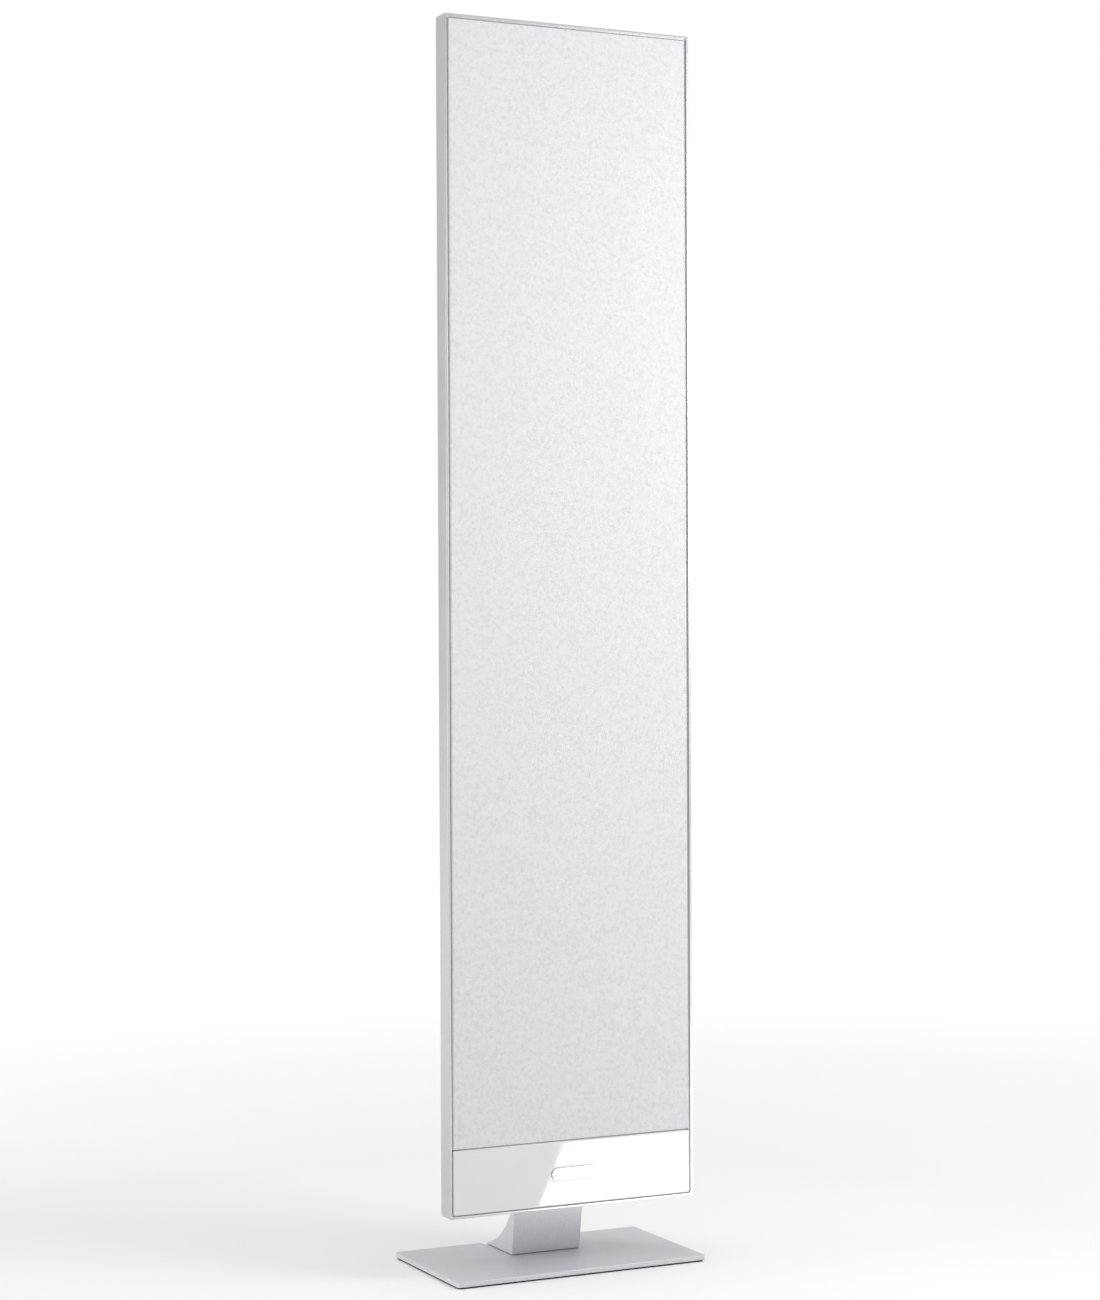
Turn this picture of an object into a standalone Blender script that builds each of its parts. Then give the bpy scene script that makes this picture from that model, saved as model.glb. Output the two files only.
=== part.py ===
"""A slim two-way satellite loudspeaker on a low desk stand.

A closed, 35 mm deep cabinet: an aluminium frame round a moulded baffle, with
two woofers either side of a dome tweeter, a tapered rear cover, a cloth grille
that pulls off, and a solid aluminium neck on a thin base plate.

Frame: +Z up, the floor at z = 0, the grille facing -Y, and the origin below the
middle of the base plate. Every size here is in millimetres.
"""

import math

import bmesh
import bpy
from mathutils import Vector

MM = 0.001                      # metres in one of this script's units
TOUCH = 0.3                     # gap between two pieces that rest on each other

# ---- Panel: the cabinet seen from the front --------------------------------------------
PANEL_WIDTH = 138.0
PANEL_HEIGHT = 600.0
PANEL_DEPTH = 35.0

FRAME_DEPTH = 12.0              # the flat flank that is seen from the side
FRAME_WALL = 1.2
FRAME_FLANGE = 1.6              # thickness of its inward flange at the back
FRAME_FLANGE_REACH = 8.5        # from the flank to the flange's inner edge
FRAME_CORNER = 1.0
FRAME_FRONT_CHAMFER = 0.3
FRAME_REAR_RADIUS = 2.0
GROOVE = 0.9                    # shadow line between the frame and what it holds

BAFFLE_THICKNESS = 5.0
SOCKET_FLOOR = 1.5              # left in front of a cover screw's socket
BODY_CLEARANCE = 0.6            # round a woofer's body
POT_CLEARANCE = 1.2             # round the tweeter's pot
BOSS_RADIUS = 3.0
BOSS_LENGTH = 2.6

FASCIA_TOP = 34.0               # the gloss panel below the grille
FASCIA_FRONT = 0.1
FASCIA_EDGE = 0.8
FASCIA_CORNER = 0.6
FASCIA_FLOOR_GAP = 0.4
BADGE_LENGTH = 25.0
BADGE_HEIGHT = 6.0
BADGE_THICKNESS = 0.6
BADGE_CORNER = 2.99             # just under half its height
BADGE_CHAMFER = 0.2

# ---- Grille ----------------------------------------------------------------------------
GRILLE_FASCIA_GAP = 0.5
GRILLE_REAR_GAP = 1.05          # from its frame to the baffle
CLOTH_THICKNESS = 0.6
CLOTH_EDGE_RADIUS = 0.9
GRILLE_CORNER = 0.5
CLOTH_RETURN = 3.6              # how far back the cloth wraps round its frame
GRILLE_BAR = 5.0
GRILLE_CROSSBAR = 3.0
GRILLE_FRAME_THICKNESS = 3.0
PEG_RADIUS = 2.0
PEG_LENGTH = 3.4
PEG_CLEARANCE = 0.5
PEG_END_MARGIN = 12.0           # from the grille frame's ends to the outer pegs

# ---- Rear cover ------------------------------------------------------------------------
COVER_WALL = 2.5
COVER_BRIM_INSET = 2.7
COVER_BRIM_CORNER = 2.0
COVER_PAN_INSET = 9.6           # where the brim turns into the raised pan
COVER_PAN_TAPER = 5.0           # how much further in the pan is at the back
COVER_PAN_EDGE = 1.2
COVER_CORNER = 6.0
GASKET_WIDTH = 2.6
COVER_SCREW_INSET = 6.1
COVER_SCREW_END_MARGIN = 24.0
COVER_SCREW_END_GAP = 2.0       # from a screw's end to the baffle's front

# ---- Stand -----------------------------------------------------------------------------
BASE_WIDTH = 140.0
BASE_DEPTH = 80.0
BASE_THICKNESS = 2.5
BASE_CORNER = 2.0
BASE_CHAMFER = 0.4
PAD_THICKNESS = 0.5
PAD_INSET = 0.8
PANEL_LIFT = 29.0               # from the plate's top to the panel's underside
NOTCH_DEPTH = 4.2               # cable relief in the plate's rear edge
NOTCH_SIDE_GAP = 1.2
NECK_WIDTH = 39.0
NECK_FOOT_DEPTH = 31.0
NECK_LEAN = 3.9                 # how far the front leans forward on its way up
NECK_LIP = 0.6                  # height of the foot's rear edge
NECK_SWEEP_TOP = 24.0           # where the hollow rear curve meets the tongue
NECK_SWEEP_SAG = 4.3            # how deep that curve is hollowed
NECK_EDGE = 0.7
TONGUE_THICKNESS = 4.1
TONGUE_LENGTH = 58.0            # above the panel's underside
POCKET_DEPTH = 6.2              # recess in the rear cover that takes the tongue
POCKET_SIDE_GAP = 1.0
POCKET_TOP_GAP = 3.0
TONGUE_SCREW_HEIGHTS = (27.0, 48.0)
BASE_SCREW_SPREAD = 12.0
BASE_SCREW_FROM_FRONT = 6.5
BASE_SCREW_BITE = 5.5           # into the neck's foot
TONGUE_SCREW_END = 0.8          # past the pocket's wall, inside the cabinet

# ---- Woofers ---------------------------------------------------------------------------
WOOFER_SIDE_MARGIN = 12.0       # from the panel's side to the driver's flange
WOOFER_TOP_MARGIN = 31.0
DRIVER_GAP = 4.0                # between neighbouring driver flanges
DRIVER_FLANGE = 2.0
BASKET_BODY_INSET = 7.6         # from the flange's rim to the basket's body
BASKET_SHELF_INSET = 6.0
BASKET_SHELF_DEPTH = 1.1
BASKET_WALL = 2.5
BASKET_REAR = 15.6              # front of the basket's rear plate
BASKET_REAR_THICKNESS = 1.4
BASKET_DRAFT = 2.0              # how far its body tapers in
BASKET_SHOULDER = 4.6           # from the end of that taper to the rear plate
BASKET_SHOULDER_STEP = 0.8
SPIDER_LEDGE = 3.0              # from the top plate's rim to the shoulder's foot
BASKET_THROAT = 17.0            # radius of the opening for the voice coil
WOOFER_SCREW_INSET = 2.9
SURROUND_LIP = 3.4
SURROUND_ROLL = 6.8             # width of the flexing part
SURROUND_DROP = 3.2             # how much deeper its inner edge lies
SURROUND_THICKNESS = 0.6
CONE_EDGE = 2.1
CONE_THICKNESS = 0.7
CONE_DEPTH = 8.3
CONE_NECK_GAP = 0.5             # glue gap to the voice coil
CONE_EDGE_CUT = 0.2
DUST_CAP_RADIUS = 16.0
DUST_CAP_RISE = 3.6
DUST_CAP_THICKNESS = 0.6
DUST_CAP_LIFT = 0.7             # off the cone's face
COIL_INNER = 12.0
COIL_OUTER = 13.4
COIL_FRONT = 11.9
COIL_LENGTH = 9.3
COIL_CLEARANCE = 0.8            # to the pole inside and the top plate outside
SPIDER_OUTER = 31.0
SPIDER_THICKNESS = 0.6
SPIDER_DROP = 1.0
SPIDER_WAVES = 2
SPIDER_WAVE_HEIGHT = 0.45
SPIDER_FOOT = 4.0               # flat width glued to the basket
SPIDER_NECK = 1.5               # flat width glued to the coil
TOP_PLATE_THICKNESS = 2.5
TOP_PLATE_RADIUS = 30.0
MAGNET_RADIUS = 31.0
MAGNET_HOLE = 15.5
YOKE_THICKNESS = 2.6
MOTOR_CLEARANCE = 0.7           # from the yoke to the rear cover

# ---- Tweeter ---------------------------------------------------------------------------
TWEETER_FLANGE_RADIUS = 27.0
DOME_RADIUS = 12.5
DOME_RISE = 3.7
DOME_THICKNESS = 0.5
DOME_SKIRT = 5.0
DOME_EDGE = 2.6                 # width of the flexing ring round the dome
TWEETER_THROAT_GAP = 0.9
FACEPLATE_BACK = 0.4            # raised seat behind the faceplate
HORN_STEP = 0.3
HORN_KNEE = 3.0
HORN_KNEE_DEPTH = 1.0
HORN_WIDTH = 7.0
POT_RADIUS = 18.5
POT_LENGTH = 12.5
POT_WALL = 3.0
TWEETER_MAGNET_SINK = 1.0
TWEETER_SCREW_INSET = 3.4

# ---- Crossover, leads and terminals ----------------------------------------------------
BOARD_WIDTH = 78.0
BOARD_HEIGHT = 80.0
BOARD_THICKNESS = 1.6
BOARD_BELOW_WOOFER = 14.0
BOARD_HOLE_MARGIN = 6.0
INDUCTOR_RADIUS = 18.0
INDUCTOR_HOLE = 8.0
INDUCTOR_HEIGHT = 8.0
INDUCTOR_PLACE = (-12.0, 0.0, 14.0)
CAPACITOR_SIZE = (28.0, 9.0, 14.0)
CAPACITOR_PLACE = (8.0, 0.0, -22.0)
CAPACITOR_EDGE = 1.2
LEAD_RADIUS = 1.2
CUP_CENTRE_HEIGHT = 112.0       # above the panel's underside
CUP_WIDTH = 46.0
CUP_HEIGHT = 32.0
CUP_FLANGE_OVERLAP = 4.0
CUP_FLANGE = 1.4
CUP_FLANGE_CORNER = 3.0
CUP_LENGTH = 10.8               # how far it reaches into the cabinet
CUP_RECESS = 3.2
CUP_WALL = 1.6
SOCKET_SPREAD = 11.0
SOCKET_SIZE = 4.8
SOCKET_DEPTH = 6.0
SOCKET_DROP = 7.0               # below the cup's middle
LEVER_WIDTH = 10.6
LEVER_SIDE_GAP = 0.4
LEVER_END_GAP = 0.7
LEVER_LENGTH = 10.3             # from its pivot to its tip
LEVER_TAIL = 1.3
LEVER_THICKNESS = 2.4
LEVER_SOLE = 0.8                # below its pivot
LEVER_ROUND = 0.6
LEVER_RIDGE = 1.6
LEVER_RIDGE_FOOT = 4.2          # back from the tip to where the ridge starts
LEVER_RIDGE_TOP = 2.2
LEVER_PIVOT_HEIGHT = 2.2        # above the cup's middle
LEVER_PIVOT_SINK = 1.8          # below the block's outer face
LEVER_WELL_DEPTH = 6.6
TRUNNION_RADIUS = 1.0
TRUNNION_REACH = 1.2
TRUNNION_CLEARANCE = 0.3

# ---- Fasteners: head radius, head height, shank radius ---------------------------------
SCREW_M3 = (2.3, 1.2, 1.25)
SCREW_M3_PAN = (2.6, 1.8, 1.45)
SCREW_M4 = (3.5, 2.0, 1.8)
SCREW_M4_LOW = (3.5, 1.6, 1.8)
SCREW_CLEARANCE = 0.3
SCREW_SIDES = 10
SCREW_END_GAP = 0.5             # between a screw's end and its hole's
HEXAGON_SHARE = 0.48            # of a head's radius
HEXAGON_DEPTH_SHARE = 0.6       # of a head's height
HOLE_SIDES = 8
PAST = 1.0                      # how far a cutter runs past what it cuts

# ---- Facets ----------------------------------------------------------------------------
ROUND = 24                      # sides of every round driver part
SMALL_ROUND = 16
CORNER_STEPS = 3

# ---- Places that follow from the sizes -------------------------------------------------
PLATE_BOTTOM = PAD_THICKNESS + TOUCH
PLATE_TOP = PLATE_BOTTOM + BASE_THICKNESS
PANEL_BOTTOM = PLATE_TOP + PANEL_LIFT
FOOT_REAR = BASE_DEPTH / 2 - NOTCH_DEPTH
FOOT_FRONT = FOOT_REAR - NECK_FOOT_DEPTH
TONGUE_FRONT = FOOT_FRONT - NECK_LEAN
POCKET_FLOOR = PANEL_DEPTH - POCKET_DEPTH
PANEL_FRONT = TONGUE_FRONT - TOUCH - POCKET_FLOOR

HALF_WIDTH = PANEL_WIDTH / 2
BAFFLE_REAR = FRAME_DEPTH - FRAME_FLANGE - TOUCH
BAFFLE_FRONT = BAFFLE_REAR - BAFFLE_THICKNESS
CLOTH_FRONT = BAFFLE_FRONT - GRILLE_REAR_GAP - GRILLE_FRAME_THICKNESS - TOUCH - CLOTH_THICKNESS
COVER_FRONT = FRAME_DEPTH + TOUCH
COVER_INSIDE = PANEL_DEPTH - COVER_WALL

FLANGE_RADIUS = HALF_WIDTH - WOOFER_SIDE_MARGIN
UPPER_WOOFER = PANEL_HEIGHT - WOOFER_TOP_MARGIN - FLANGE_RADIUS
DRIVER_PITCH = FLANGE_RADIUS + DRIVER_GAP + TWEETER_FLANGE_RADIUS
TWEETER = UPPER_WOOFER - DRIVER_PITCH
LOWER_WOOFER = TWEETER - DRIVER_PITCH
BODY_RADIUS = FLANGE_RADIUS - BASKET_BODY_INSET
SHELF_RADIUS = FLANGE_RADIUS - BASKET_SHELF_INSET
ROLL_OUTER = SHELF_RADIUS - TOUCH - SURROUND_LIP
ROLL_INNER = ROLL_OUTER - SURROUND_ROLL
MOTOR_REAR = COVER_INSIDE - MOTOR_CLEARANCE - BAFFLE_FRONT
CONE_OUTER = ROLL_INNER - CONE_EDGE / 2
CONE_INNER = COIL_OUTER + CONE_NECK_GAP
SURROUND_FRONT = BASKET_SHELF_DEPTH - TOUCH - SURROUND_THICKNESS / 2
SURROUND_SEAT = SURROUND_FRONT + SURROUND_DROP
CONE_FRONT = SURROUND_SEAT + SURROUND_THICKNESS / 2 + TOUCH
TOP_PLATE_FRONT = BASKET_REAR + BASKET_REAR_THICKNESS + TOUCH

GRILLE_HALF_WIDTH = HALF_WIDTH - FRAME_WALL - GROOVE
GRILLE_BOTTOM = FASCIA_TOP + GRILLE_FASCIA_GAP
GRILLE_TOP = PANEL_HEIGHT - FRAME_WALL - GROOVE
FRAME_OF_GRILLE = CLOTH_THICKNESS + TOUCH       # inset of the frame inside the cloth
PEG_X = GRILLE_HALF_WIDTH - FRAME_OF_GRILLE - GRILLE_BAR / 2
PEG_HEIGHTS = (GRILLE_BOTTOM + PEG_END_MARGIN, TWEETER, GRILLE_TOP - PEG_END_MARGIN)
COVER_SCREW_X = HALF_WIDTH - COVER_SCREW_INSET
COVER_SCREW_HEIGHTS = (COVER_SCREW_END_MARGIN, PANEL_HEIGHT / 2,
                       PANEL_HEIGHT - COVER_SCREW_END_MARGIN)

BOARD_TOP = LOWER_WOOFER - FLANGE_RADIUS - BOARD_BELOW_WOOFER
BOARD_CENTRE = BOARD_TOP - BOARD_HEIGHT / 2
BOARD_FRONT = BAFFLE_REAR + BOSS_LENGTH + TOUCH
BOARD_REAR = BOARD_FRONT + BOARD_THICKNESS
CUP_FACE = PANEL_DEPTH + TOUCH + CUP_FLANGE - CUP_RECESS
CUP_INNER = PANEL_DEPTH - CUP_LENGTH
LEVER_PIVOT_DEPTH = CUP_FACE - LEVER_PIVOT_SINK


# ---- Finishes --------------------------------------------------------------------------

def linear(hex_colour):
    """An sRGB hex colour as linear RGBA."""
    channels = [int(hex_colour[i:i + 2], 16) / 255 for i in (1, 3, 5)]
    return [c / 12.92 if c <= 0.04045 else ((c + 0.055) / 1.055) ** 2.4 for c in channels] + [1.0]


def finish(name, hex_colour, roughness, metallic=0.0):
    material = bpy.data.materials.new(name)
    material.use_nodes = True
    shader = material.node_tree.nodes["Principled BSDF"]
    shader.inputs["Base Color"].default_value = linear(hex_colour)
    shader.inputs["Roughness"].default_value = roughness
    shader.inputs["Metallic"].default_value = metallic
    material.diffuse_color = linear(hex_colour)
    return material


def make_finishes():
    return {
        "silver_frame": finish("silver_frame", "#C9CACC", 0.38, 0.6),
        "silver_plate": finish("silver_plate", "#C6C7CA", 0.42, 0.6),
        "silver_neck": finish("silver_neck", "#BFC2C5", 0.45, 0.6),
        "grille_cloth": finish("grille_cloth", "#DADCDE", 0.9),
        "gloss_white": finish("gloss_white", "#F2F2F2", 0.08),
        "badge_metal": finish("badge_metal", "#B4B6B9", 0.3, 1.0),
        "grille_plastic": finish("grille_plastic", "#E4E5E6", 0.6),
        "baffle_plastic": finish("baffle_plastic", "#2A2B2D", 0.65),
        "cover_plastic": finish("cover_plastic", "#D9DADB", 0.5),
        "foam_seal": finish("foam_seal", "#1B1B1C", 0.95),
        "rubber_pad": finish("rubber_pad", "#2B2C2E", 0.85),
        "basket_alloy": finish("basket_alloy", "#3A3B3E", 0.5, 0.7),
        "motor_steel": finish("motor_steel", "#8C8E90", 0.35, 1.0),
        "magnet": finish("magnet", "#3F4042", 0.45, 0.8),
        "cone_fibre": finish("cone_fibre", "#9EA1A5", 0.55),
        "surround_rubber": finish("surround_rubber", "#161617", 0.6),
        "spider_cloth": finish("spider_cloth", "#C08A4A", 0.9),
        "coil_copper": finish("coil_copper", "#B4703A", 0.35, 1.0),
        "dome_alloy": finish("dome_alloy", "#C8CACD", 0.25, 1.0),
        "faceplate_plastic": finish("faceplate_plastic", "#333437", 0.5),
        "screw_zinc": finish("screw_zinc", "#A9ABAE", 0.3, 1.0),
        "screw_black": finish("screw_black", "#1E1F20", 0.4, 0.8),
        "circuit_board": finish("circuit_board", "#2F5D3A", 0.5),
        "capacitor_film": finish("capacitor_film", "#C7A23A", 0.4),
        "lead_insulation": finish("lead_insulation", "#26272A", 0.5),
        "terminal_black": finish("terminal_black", "#202123", 0.5),
        "lever_red": finish("lever_red", "#B8262A", 0.4),
        "lever_black": finish("lever_black", "#141416", 0.4),
    }


# ---- Outlines and curves ---------------------------------------------------------------

def arc(centre, radius, start, end, steps):
    """Points on an arc, both ends included, with its angles in degrees."""
    angles = [math.radians(start + (end - start) * i / steps) for i in range(steps + 1)]
    return [(centre[0] + radius * math.cos(a), centre[1] + radius * math.sin(a)) for a in angles]


def sagging_arc(start, end, sag, steps):
    """An arc from start to end that bulges by sag to the right of its chord."""
    start, end = Vector(start), Vector(end)
    chord = end - start
    side = Vector((chord.y, -chord.x)).normalized()
    radius = (chord.length_squared / 4 + sag * sag) / (2 * sag)
    centre = (start + end) / 2 - side * (radius - sag)
    half = math.asin(chord.length / 2 / radius)
    points = []
    for i in range(steps + 1):
        turn = half * (2 * i / steps - 1)
        along = chord.normalized() * math.sin(turn) + side * math.cos(turn)
        points.append(tuple(centre + along * radius))
    return points


def rounded_rectangle(half_width, low, high, radius, steps=CORNER_STEPS):
    """Corner points (x, z), counter-clockwise seen from the front."""
    corners = ((half_width, high, 0), (-half_width, high, 90), (-half_width, low, 180),
               (half_width, low, 270))
    points = []
    for x, z, angle in corners:
        centre = (x - math.copysign(radius, x), z - radius if z == high else z + radius)
        points += arc(centre, radius, angle, angle + 90, steps)
    return points


def smooth_route(stations, per_span):
    """Points on a Catmull-Rom curve through hand-set stations."""
    knots = [Vector(s) for s in stations]
    knots = [2 * knots[0] - knots[1]] + knots + [2 * knots[-1] - knots[-2]]
    points = []
    for a, b, c, d in zip(knots, knots[1:], knots[2:], knots[3:]):
        for i in range(per_span):
            t = i / per_span
            points.append(0.5 * ((2 * b) + (c - a) * t + (2 * a - 5 * b + 4 * c - d) * t ** 2
                                 + (3 * b - a - 3 * c + d) * t ** 3))
    return points + [knots[-2]]


# ---- Solids ----------------------------------------------------------------------------

def place(name, mesh, material, parent, location):
    """An object for a mesh, hung on a parent empty at a place in millimetres."""
    piece = bpy.data.objects.new(name, mesh)
    bpy.context.scene.collection.objects.link(piece)
    piece.parent = parent
    piece.location = [c * MM for c in location]
    if material:
        piece.data.materials.append(material)
    return piece


def solid(name, work, material=None, parent=None, location=(0, 0, 0), smooth=False):
    """Turn a closed bmesh into an object, with its faces pointing out."""
    bmesh.ops.remove_doubles(work, verts=work.verts, dist=1e-7)
    bmesh.ops.recalc_face_normals(work, faces=work.faces)
    mesh = bpy.data.meshes.new(name)
    work.to_mesh(mesh)
    work.free()
    if smooth:
        mesh.shade_smooth()
        mesh.set_sharp_from_angle(angle=math.radians(40))
    return place(name, mesh, material, parent, location)


def metres(*point):
    return [c * MM for c in point]


def add_loop(work, points):
    return [work.verts.new(metres(*p)) for p in points]


def bridge(work, first, second):
    for i in range(len(first)):
        j = (i + 1) % len(first)
        work.faces.new((first[i], first[j], second[j], second[i]))


def add_lathe(work, profile, sides, centre=(0, 0, 0), axis="Y"):
    """Spin an outline of (radius, distance along the axis) into a closed solid."""
    closed = all(radius > 0 for radius, _ in profile)
    rings = []
    for radius, along in profile:
        ring = []
        for i in range(sides if radius > 0 else 1):
            turn = math.tau * i / sides
            u, v = radius * math.cos(turn), radius * math.sin(turn)
            spot = {"X": (along, u, v), "Y": (u, along, v), "Z": (u, v, along)}[axis]
            ring.append(work.verts.new(metres(*(c + s for c, s in zip(centre, spot)))))
        rings.append(ring)
    for first, second in zip(rings, rings[1:] + (rings[:1] if closed else [])):
        for i in range(sides):
            j = (i + 1) % sides
            corners = (first[i % len(first)], first[j % len(first)],
                       second[j % len(second)], second[i % len(second)])
            corners = list(dict.fromkeys(corners))
            if len(corners) > 2:
                work.faces.new(corners)


def lathe(name, profile, material, parent, location=(0, 0, 0), sides=ROUND, axis="Y"):
    work = bmesh.new()
    add_lathe(work, profile, sides, axis=axis)
    return solid(name, work, material, parent, location, smooth=True)


def tube(name, inner, outer, near, far, material, parent, location=(0, 0, 0), sides=ROUND):
    lathe(name, [(inner, near), (outer, near), (outer, far), (inner, far)], material, parent, location, sides)


def add_prism(work, outline, near, far):
    """Extrude an outline of (x, z) along Y, from near to far."""
    front = add_loop(work, [(x, near, z) for x, z in outline])
    rear = add_loop(work, [(x, far, z) for x, z in outline])
    bridge(work, front, rear)
    work.faces.new(front)
    work.faces.new(rear)


def prism(name, outline, near, far, material=None, parent=None, location=(0, 0, 0)):
    work = bmesh.new()
    add_prism(work, outline, near, far)
    return solid(name, work, material, parent, location)


def add_box(work, low, high):
    outline = [(low[0], low[2]), (high[0], low[2]), (high[0], high[2]), (low[0], high[2])]
    add_prism(work, outline, low[1], high[1])


def box(name, low, high, material=None, parent=None, location=(0, 0, 0)):
    work = bmesh.new()
    add_box(work, low, high)
    return solid(name, work, material, parent, location)


def loft(name, sections, closed, material=None, parent=None):
    """Join rounded rectangles given as (inset, depth, corner radius) of the panel's outline.

    A closed loft is a ring whose last section meets its first; an open one is capped.
    """
    work = bmesh.new()
    loops = []
    for inset, depth, radius in sections:
        outline = rounded_rectangle(HALF_WIDTH - inset, inset, PANEL_HEIGHT - inset, radius)
        loops.append(add_loop(work, [(x, depth, z) for x, z in outline]))
    for first, second in zip(loops, loops[1:] + (loops[:1] if closed else [])):
        bridge(work, first, second)
    if not closed:
        work.faces.new(loops[0])
        work.faces.new(loops[-1])
    return solid(name, work, material, parent)


def bevel(piece, width, segments=2, angle=40):
    modifier = piece.modifiers.new("bevel", "BEVEL")
    modifier.width = width * MM
    modifier.segments = segments
    modifier.limit_method = "ANGLE"
    modifier.angle_limit = math.radians(angle)


def combine(piece, other, operation):
    """Cut another solid out of a piece, or weld it on, and keep that solid as a guide."""
    modifier = piece.modifiers.new(other.name, "BOOLEAN")
    modifier.operation = operation
    modifier.object = other
    other.hide_render = True
    other.display_type = "WIRE"


def cut(piece, cutter):
    combine(piece, cutter, "DIFFERENCE")


def weld(piece, addition):
    combine(piece, addition, "UNION")


def rods(name, places, radius, near, far, parent, sides=SCREW_SIDES):
    """Parallel round rods along Y at places (x, z), as one cutter or addition."""
    work = bmesh.new()
    for x, z in places:
        add_lathe(work, [(0, near), (radius, near), (radius, far), (0, far)], sides, (x, 0, z))
    return solid(name, work, None, parent)


def screw(name, kind, shank_length, material, parent, location, toward="+Y"):
    """A cap screw whose shank runs toward +Y, -Y or +Z from the underside of its head."""
    head_radius, head_height, shank_radius = kind
    sign = -1 if toward[0] == "-" else 1
    profile = [(0, -head_height), (head_radius, -head_height), (head_radius, 0), (shank_radius, 0),
               (shank_radius, shank_length), (0, shank_length)]
    axis = toward[1]
    work = bmesh.new()
    add_lathe(work, [(r, sign * a) for r, a in profile], SCREW_SIDES, axis=axis)
    piece = solid(name, work, material, parent, location, smooth=True)
    hexagon = bmesh.new()
    near, far = -sign * (head_height + PAST), -sign * head_height * (1 - HEXAGON_DEPTH_SHARE)
    across = head_radius * HEXAGON_SHARE
    add_lathe(hexagon, [(0, near), (across, near), (across, far), (0, far)], 6, axis=axis)
    cut(piece, solid("hexagon_of_" + name, hexagon, None, parent, location))
    return piece


def empty(name, location, parent=None):
    guide = bpy.data.objects.new(name, None)
    bpy.context.scene.collection.objects.link(guide)
    guide.parent = parent
    guide.location = [c * MM for c in location]
    return guide


# ---- Stand -----------------------------------------------------------------------------

def flat_outline(piece_name, inset, low, high, material, parent):
    """The base's outline, less an inset, as a flat slab from low to high."""
    half_width, half_depth = BASE_WIDTH / 2 - inset, BASE_DEPTH / 2 - inset
    work = bmesh.new()
    outline = rounded_rectangle(half_width, -half_depth, half_depth, BASE_CORNER)
    bottom = add_loop(work, [(x, y, low) for x, y in outline])
    top = add_loop(work, [(x, y, high) for x, y in outline])
    bridge(work, bottom, top)
    work.faces.new(bottom)
    work.faces.new(top)
    return solid(piece_name, work, material, parent)


def notch_cutter(name, inset, stand):
    """The bite out of the rear edge, which an inset slab carries further in."""
    half = NECK_WIDTH / 2 + NOTCH_SIDE_GAP + inset
    front = FOOT_REAR + TOUCH - inset
    return box(name, (-half, front, -PAST), (half, BASE_DEPTH / 2 + PAST, PLATE_TOP + PAST), parent=stand)


def make_stand(looks):
    stand = empty("stand", (0, 0, 0))
    plate = flat_outline("base_plate", 0, PLATE_BOTTOM, PLATE_TOP, looks["silver_plate"], stand)
    bevel(plate, BASE_CHAMFER, 1)
    cut(plate, notch_cutter("plate_notch", 0, stand))
    pad = flat_outline("base_pad", PAD_INSET, 0, PAD_THICKNESS, looks["rubber_pad"], stand)
    cut(pad, notch_cutter("pad_notch", PAD_INSET, stand))
    make_neck(plate, looks, stand)


def neck_profile():
    """The neck from the side, as (y, height above the plate): foot, hollow rear, tongue."""
    top = PANEL_LIFT + TONGUE_LENGTH
    rear = TONGUE_FRONT + TONGUE_THICKNESS
    sweep = sagging_arc((rear, NECK_SWEEP_TOP), (FOOT_REAR, NECK_LIP), NECK_SWEEP_SAG, 8)
    return [(FOOT_REAR, 0), (FOOT_FRONT, 0), (TONGUE_FRONT, NECK_SWEEP_TOP),
            (TONGUE_FRONT, top), (rear, top)] + sweep


def make_neck(plate, looks, stand):
    foot = PLATE_TOP + TOUCH
    work = bmesh.new()
    sides = [add_loop(work, [(x, y, z) for y, z in neck_profile()])
             for x in (-NECK_WIDTH / 2, NECK_WIDTH / 2)]
    bridge(work, *sides)
    for side in sides:
        work.faces.new(side)
    neck = solid("stand_neck", work, looks["silver_neck"], stand, (0, 0, foot))
    bevel(neck, NECK_EDGE)
    head_radius, head_height, shank_radius = SCREW_M4_LOW
    bore, sink = shank_radius + SCREW_CLEARANCE, head_radius + SCREW_CLEARANCE
    under_head = PLATE_BOTTOM + head_height
    end = foot + BASE_SCREW_BITE
    near, far = foot - PAST, end + SCREW_END_GAP
    step, top = under_head + SCREW_CLEARANCE, PLATE_TOP + PAST
    holes, recesses = bmesh.new(), bmesh.new()
    for side, x in (("left", -BASE_SCREW_SPREAD), ("right", BASE_SCREW_SPREAD)):
        y = FOOT_FRONT + BASE_SCREW_FROM_FRONT
        add_lathe(holes, [(0, near), (bore, near), (bore, far), (0, far)], SCREW_SIDES, (x, y, 0), "Z")
        stepped = [(0, -PAST), (sink, -PAST), (sink, step), (bore, step), (bore, top), (0, top)]
        add_lathe(recesses, stepped, SCREW_SIDES, (x, y, 0), "Z")
        screw("base_screw_" + side, SCREW_M4_LOW, end - under_head, looks["screw_zinc"], stand,
              (x, y, under_head), "+Z")
    cut(neck, solid("neck_foot_holes", holes, None, stand))
    cut(plate, solid("plate_screw_holes", recesses, None, stand))
    tongue_holes = rods("tongue_holes", [(0, PANEL_BOTTOM + h) for h in TONGUE_SCREW_HEIGHTS], bore,
                        TONGUE_FRONT - NECK_LEAN / 2, TONGUE_FRONT + TONGUE_THICKNESS + PAST, stand)
    cut(neck, tongue_holes)


# ---- Cabinet shell ---------------------------------------------------------------------

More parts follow.
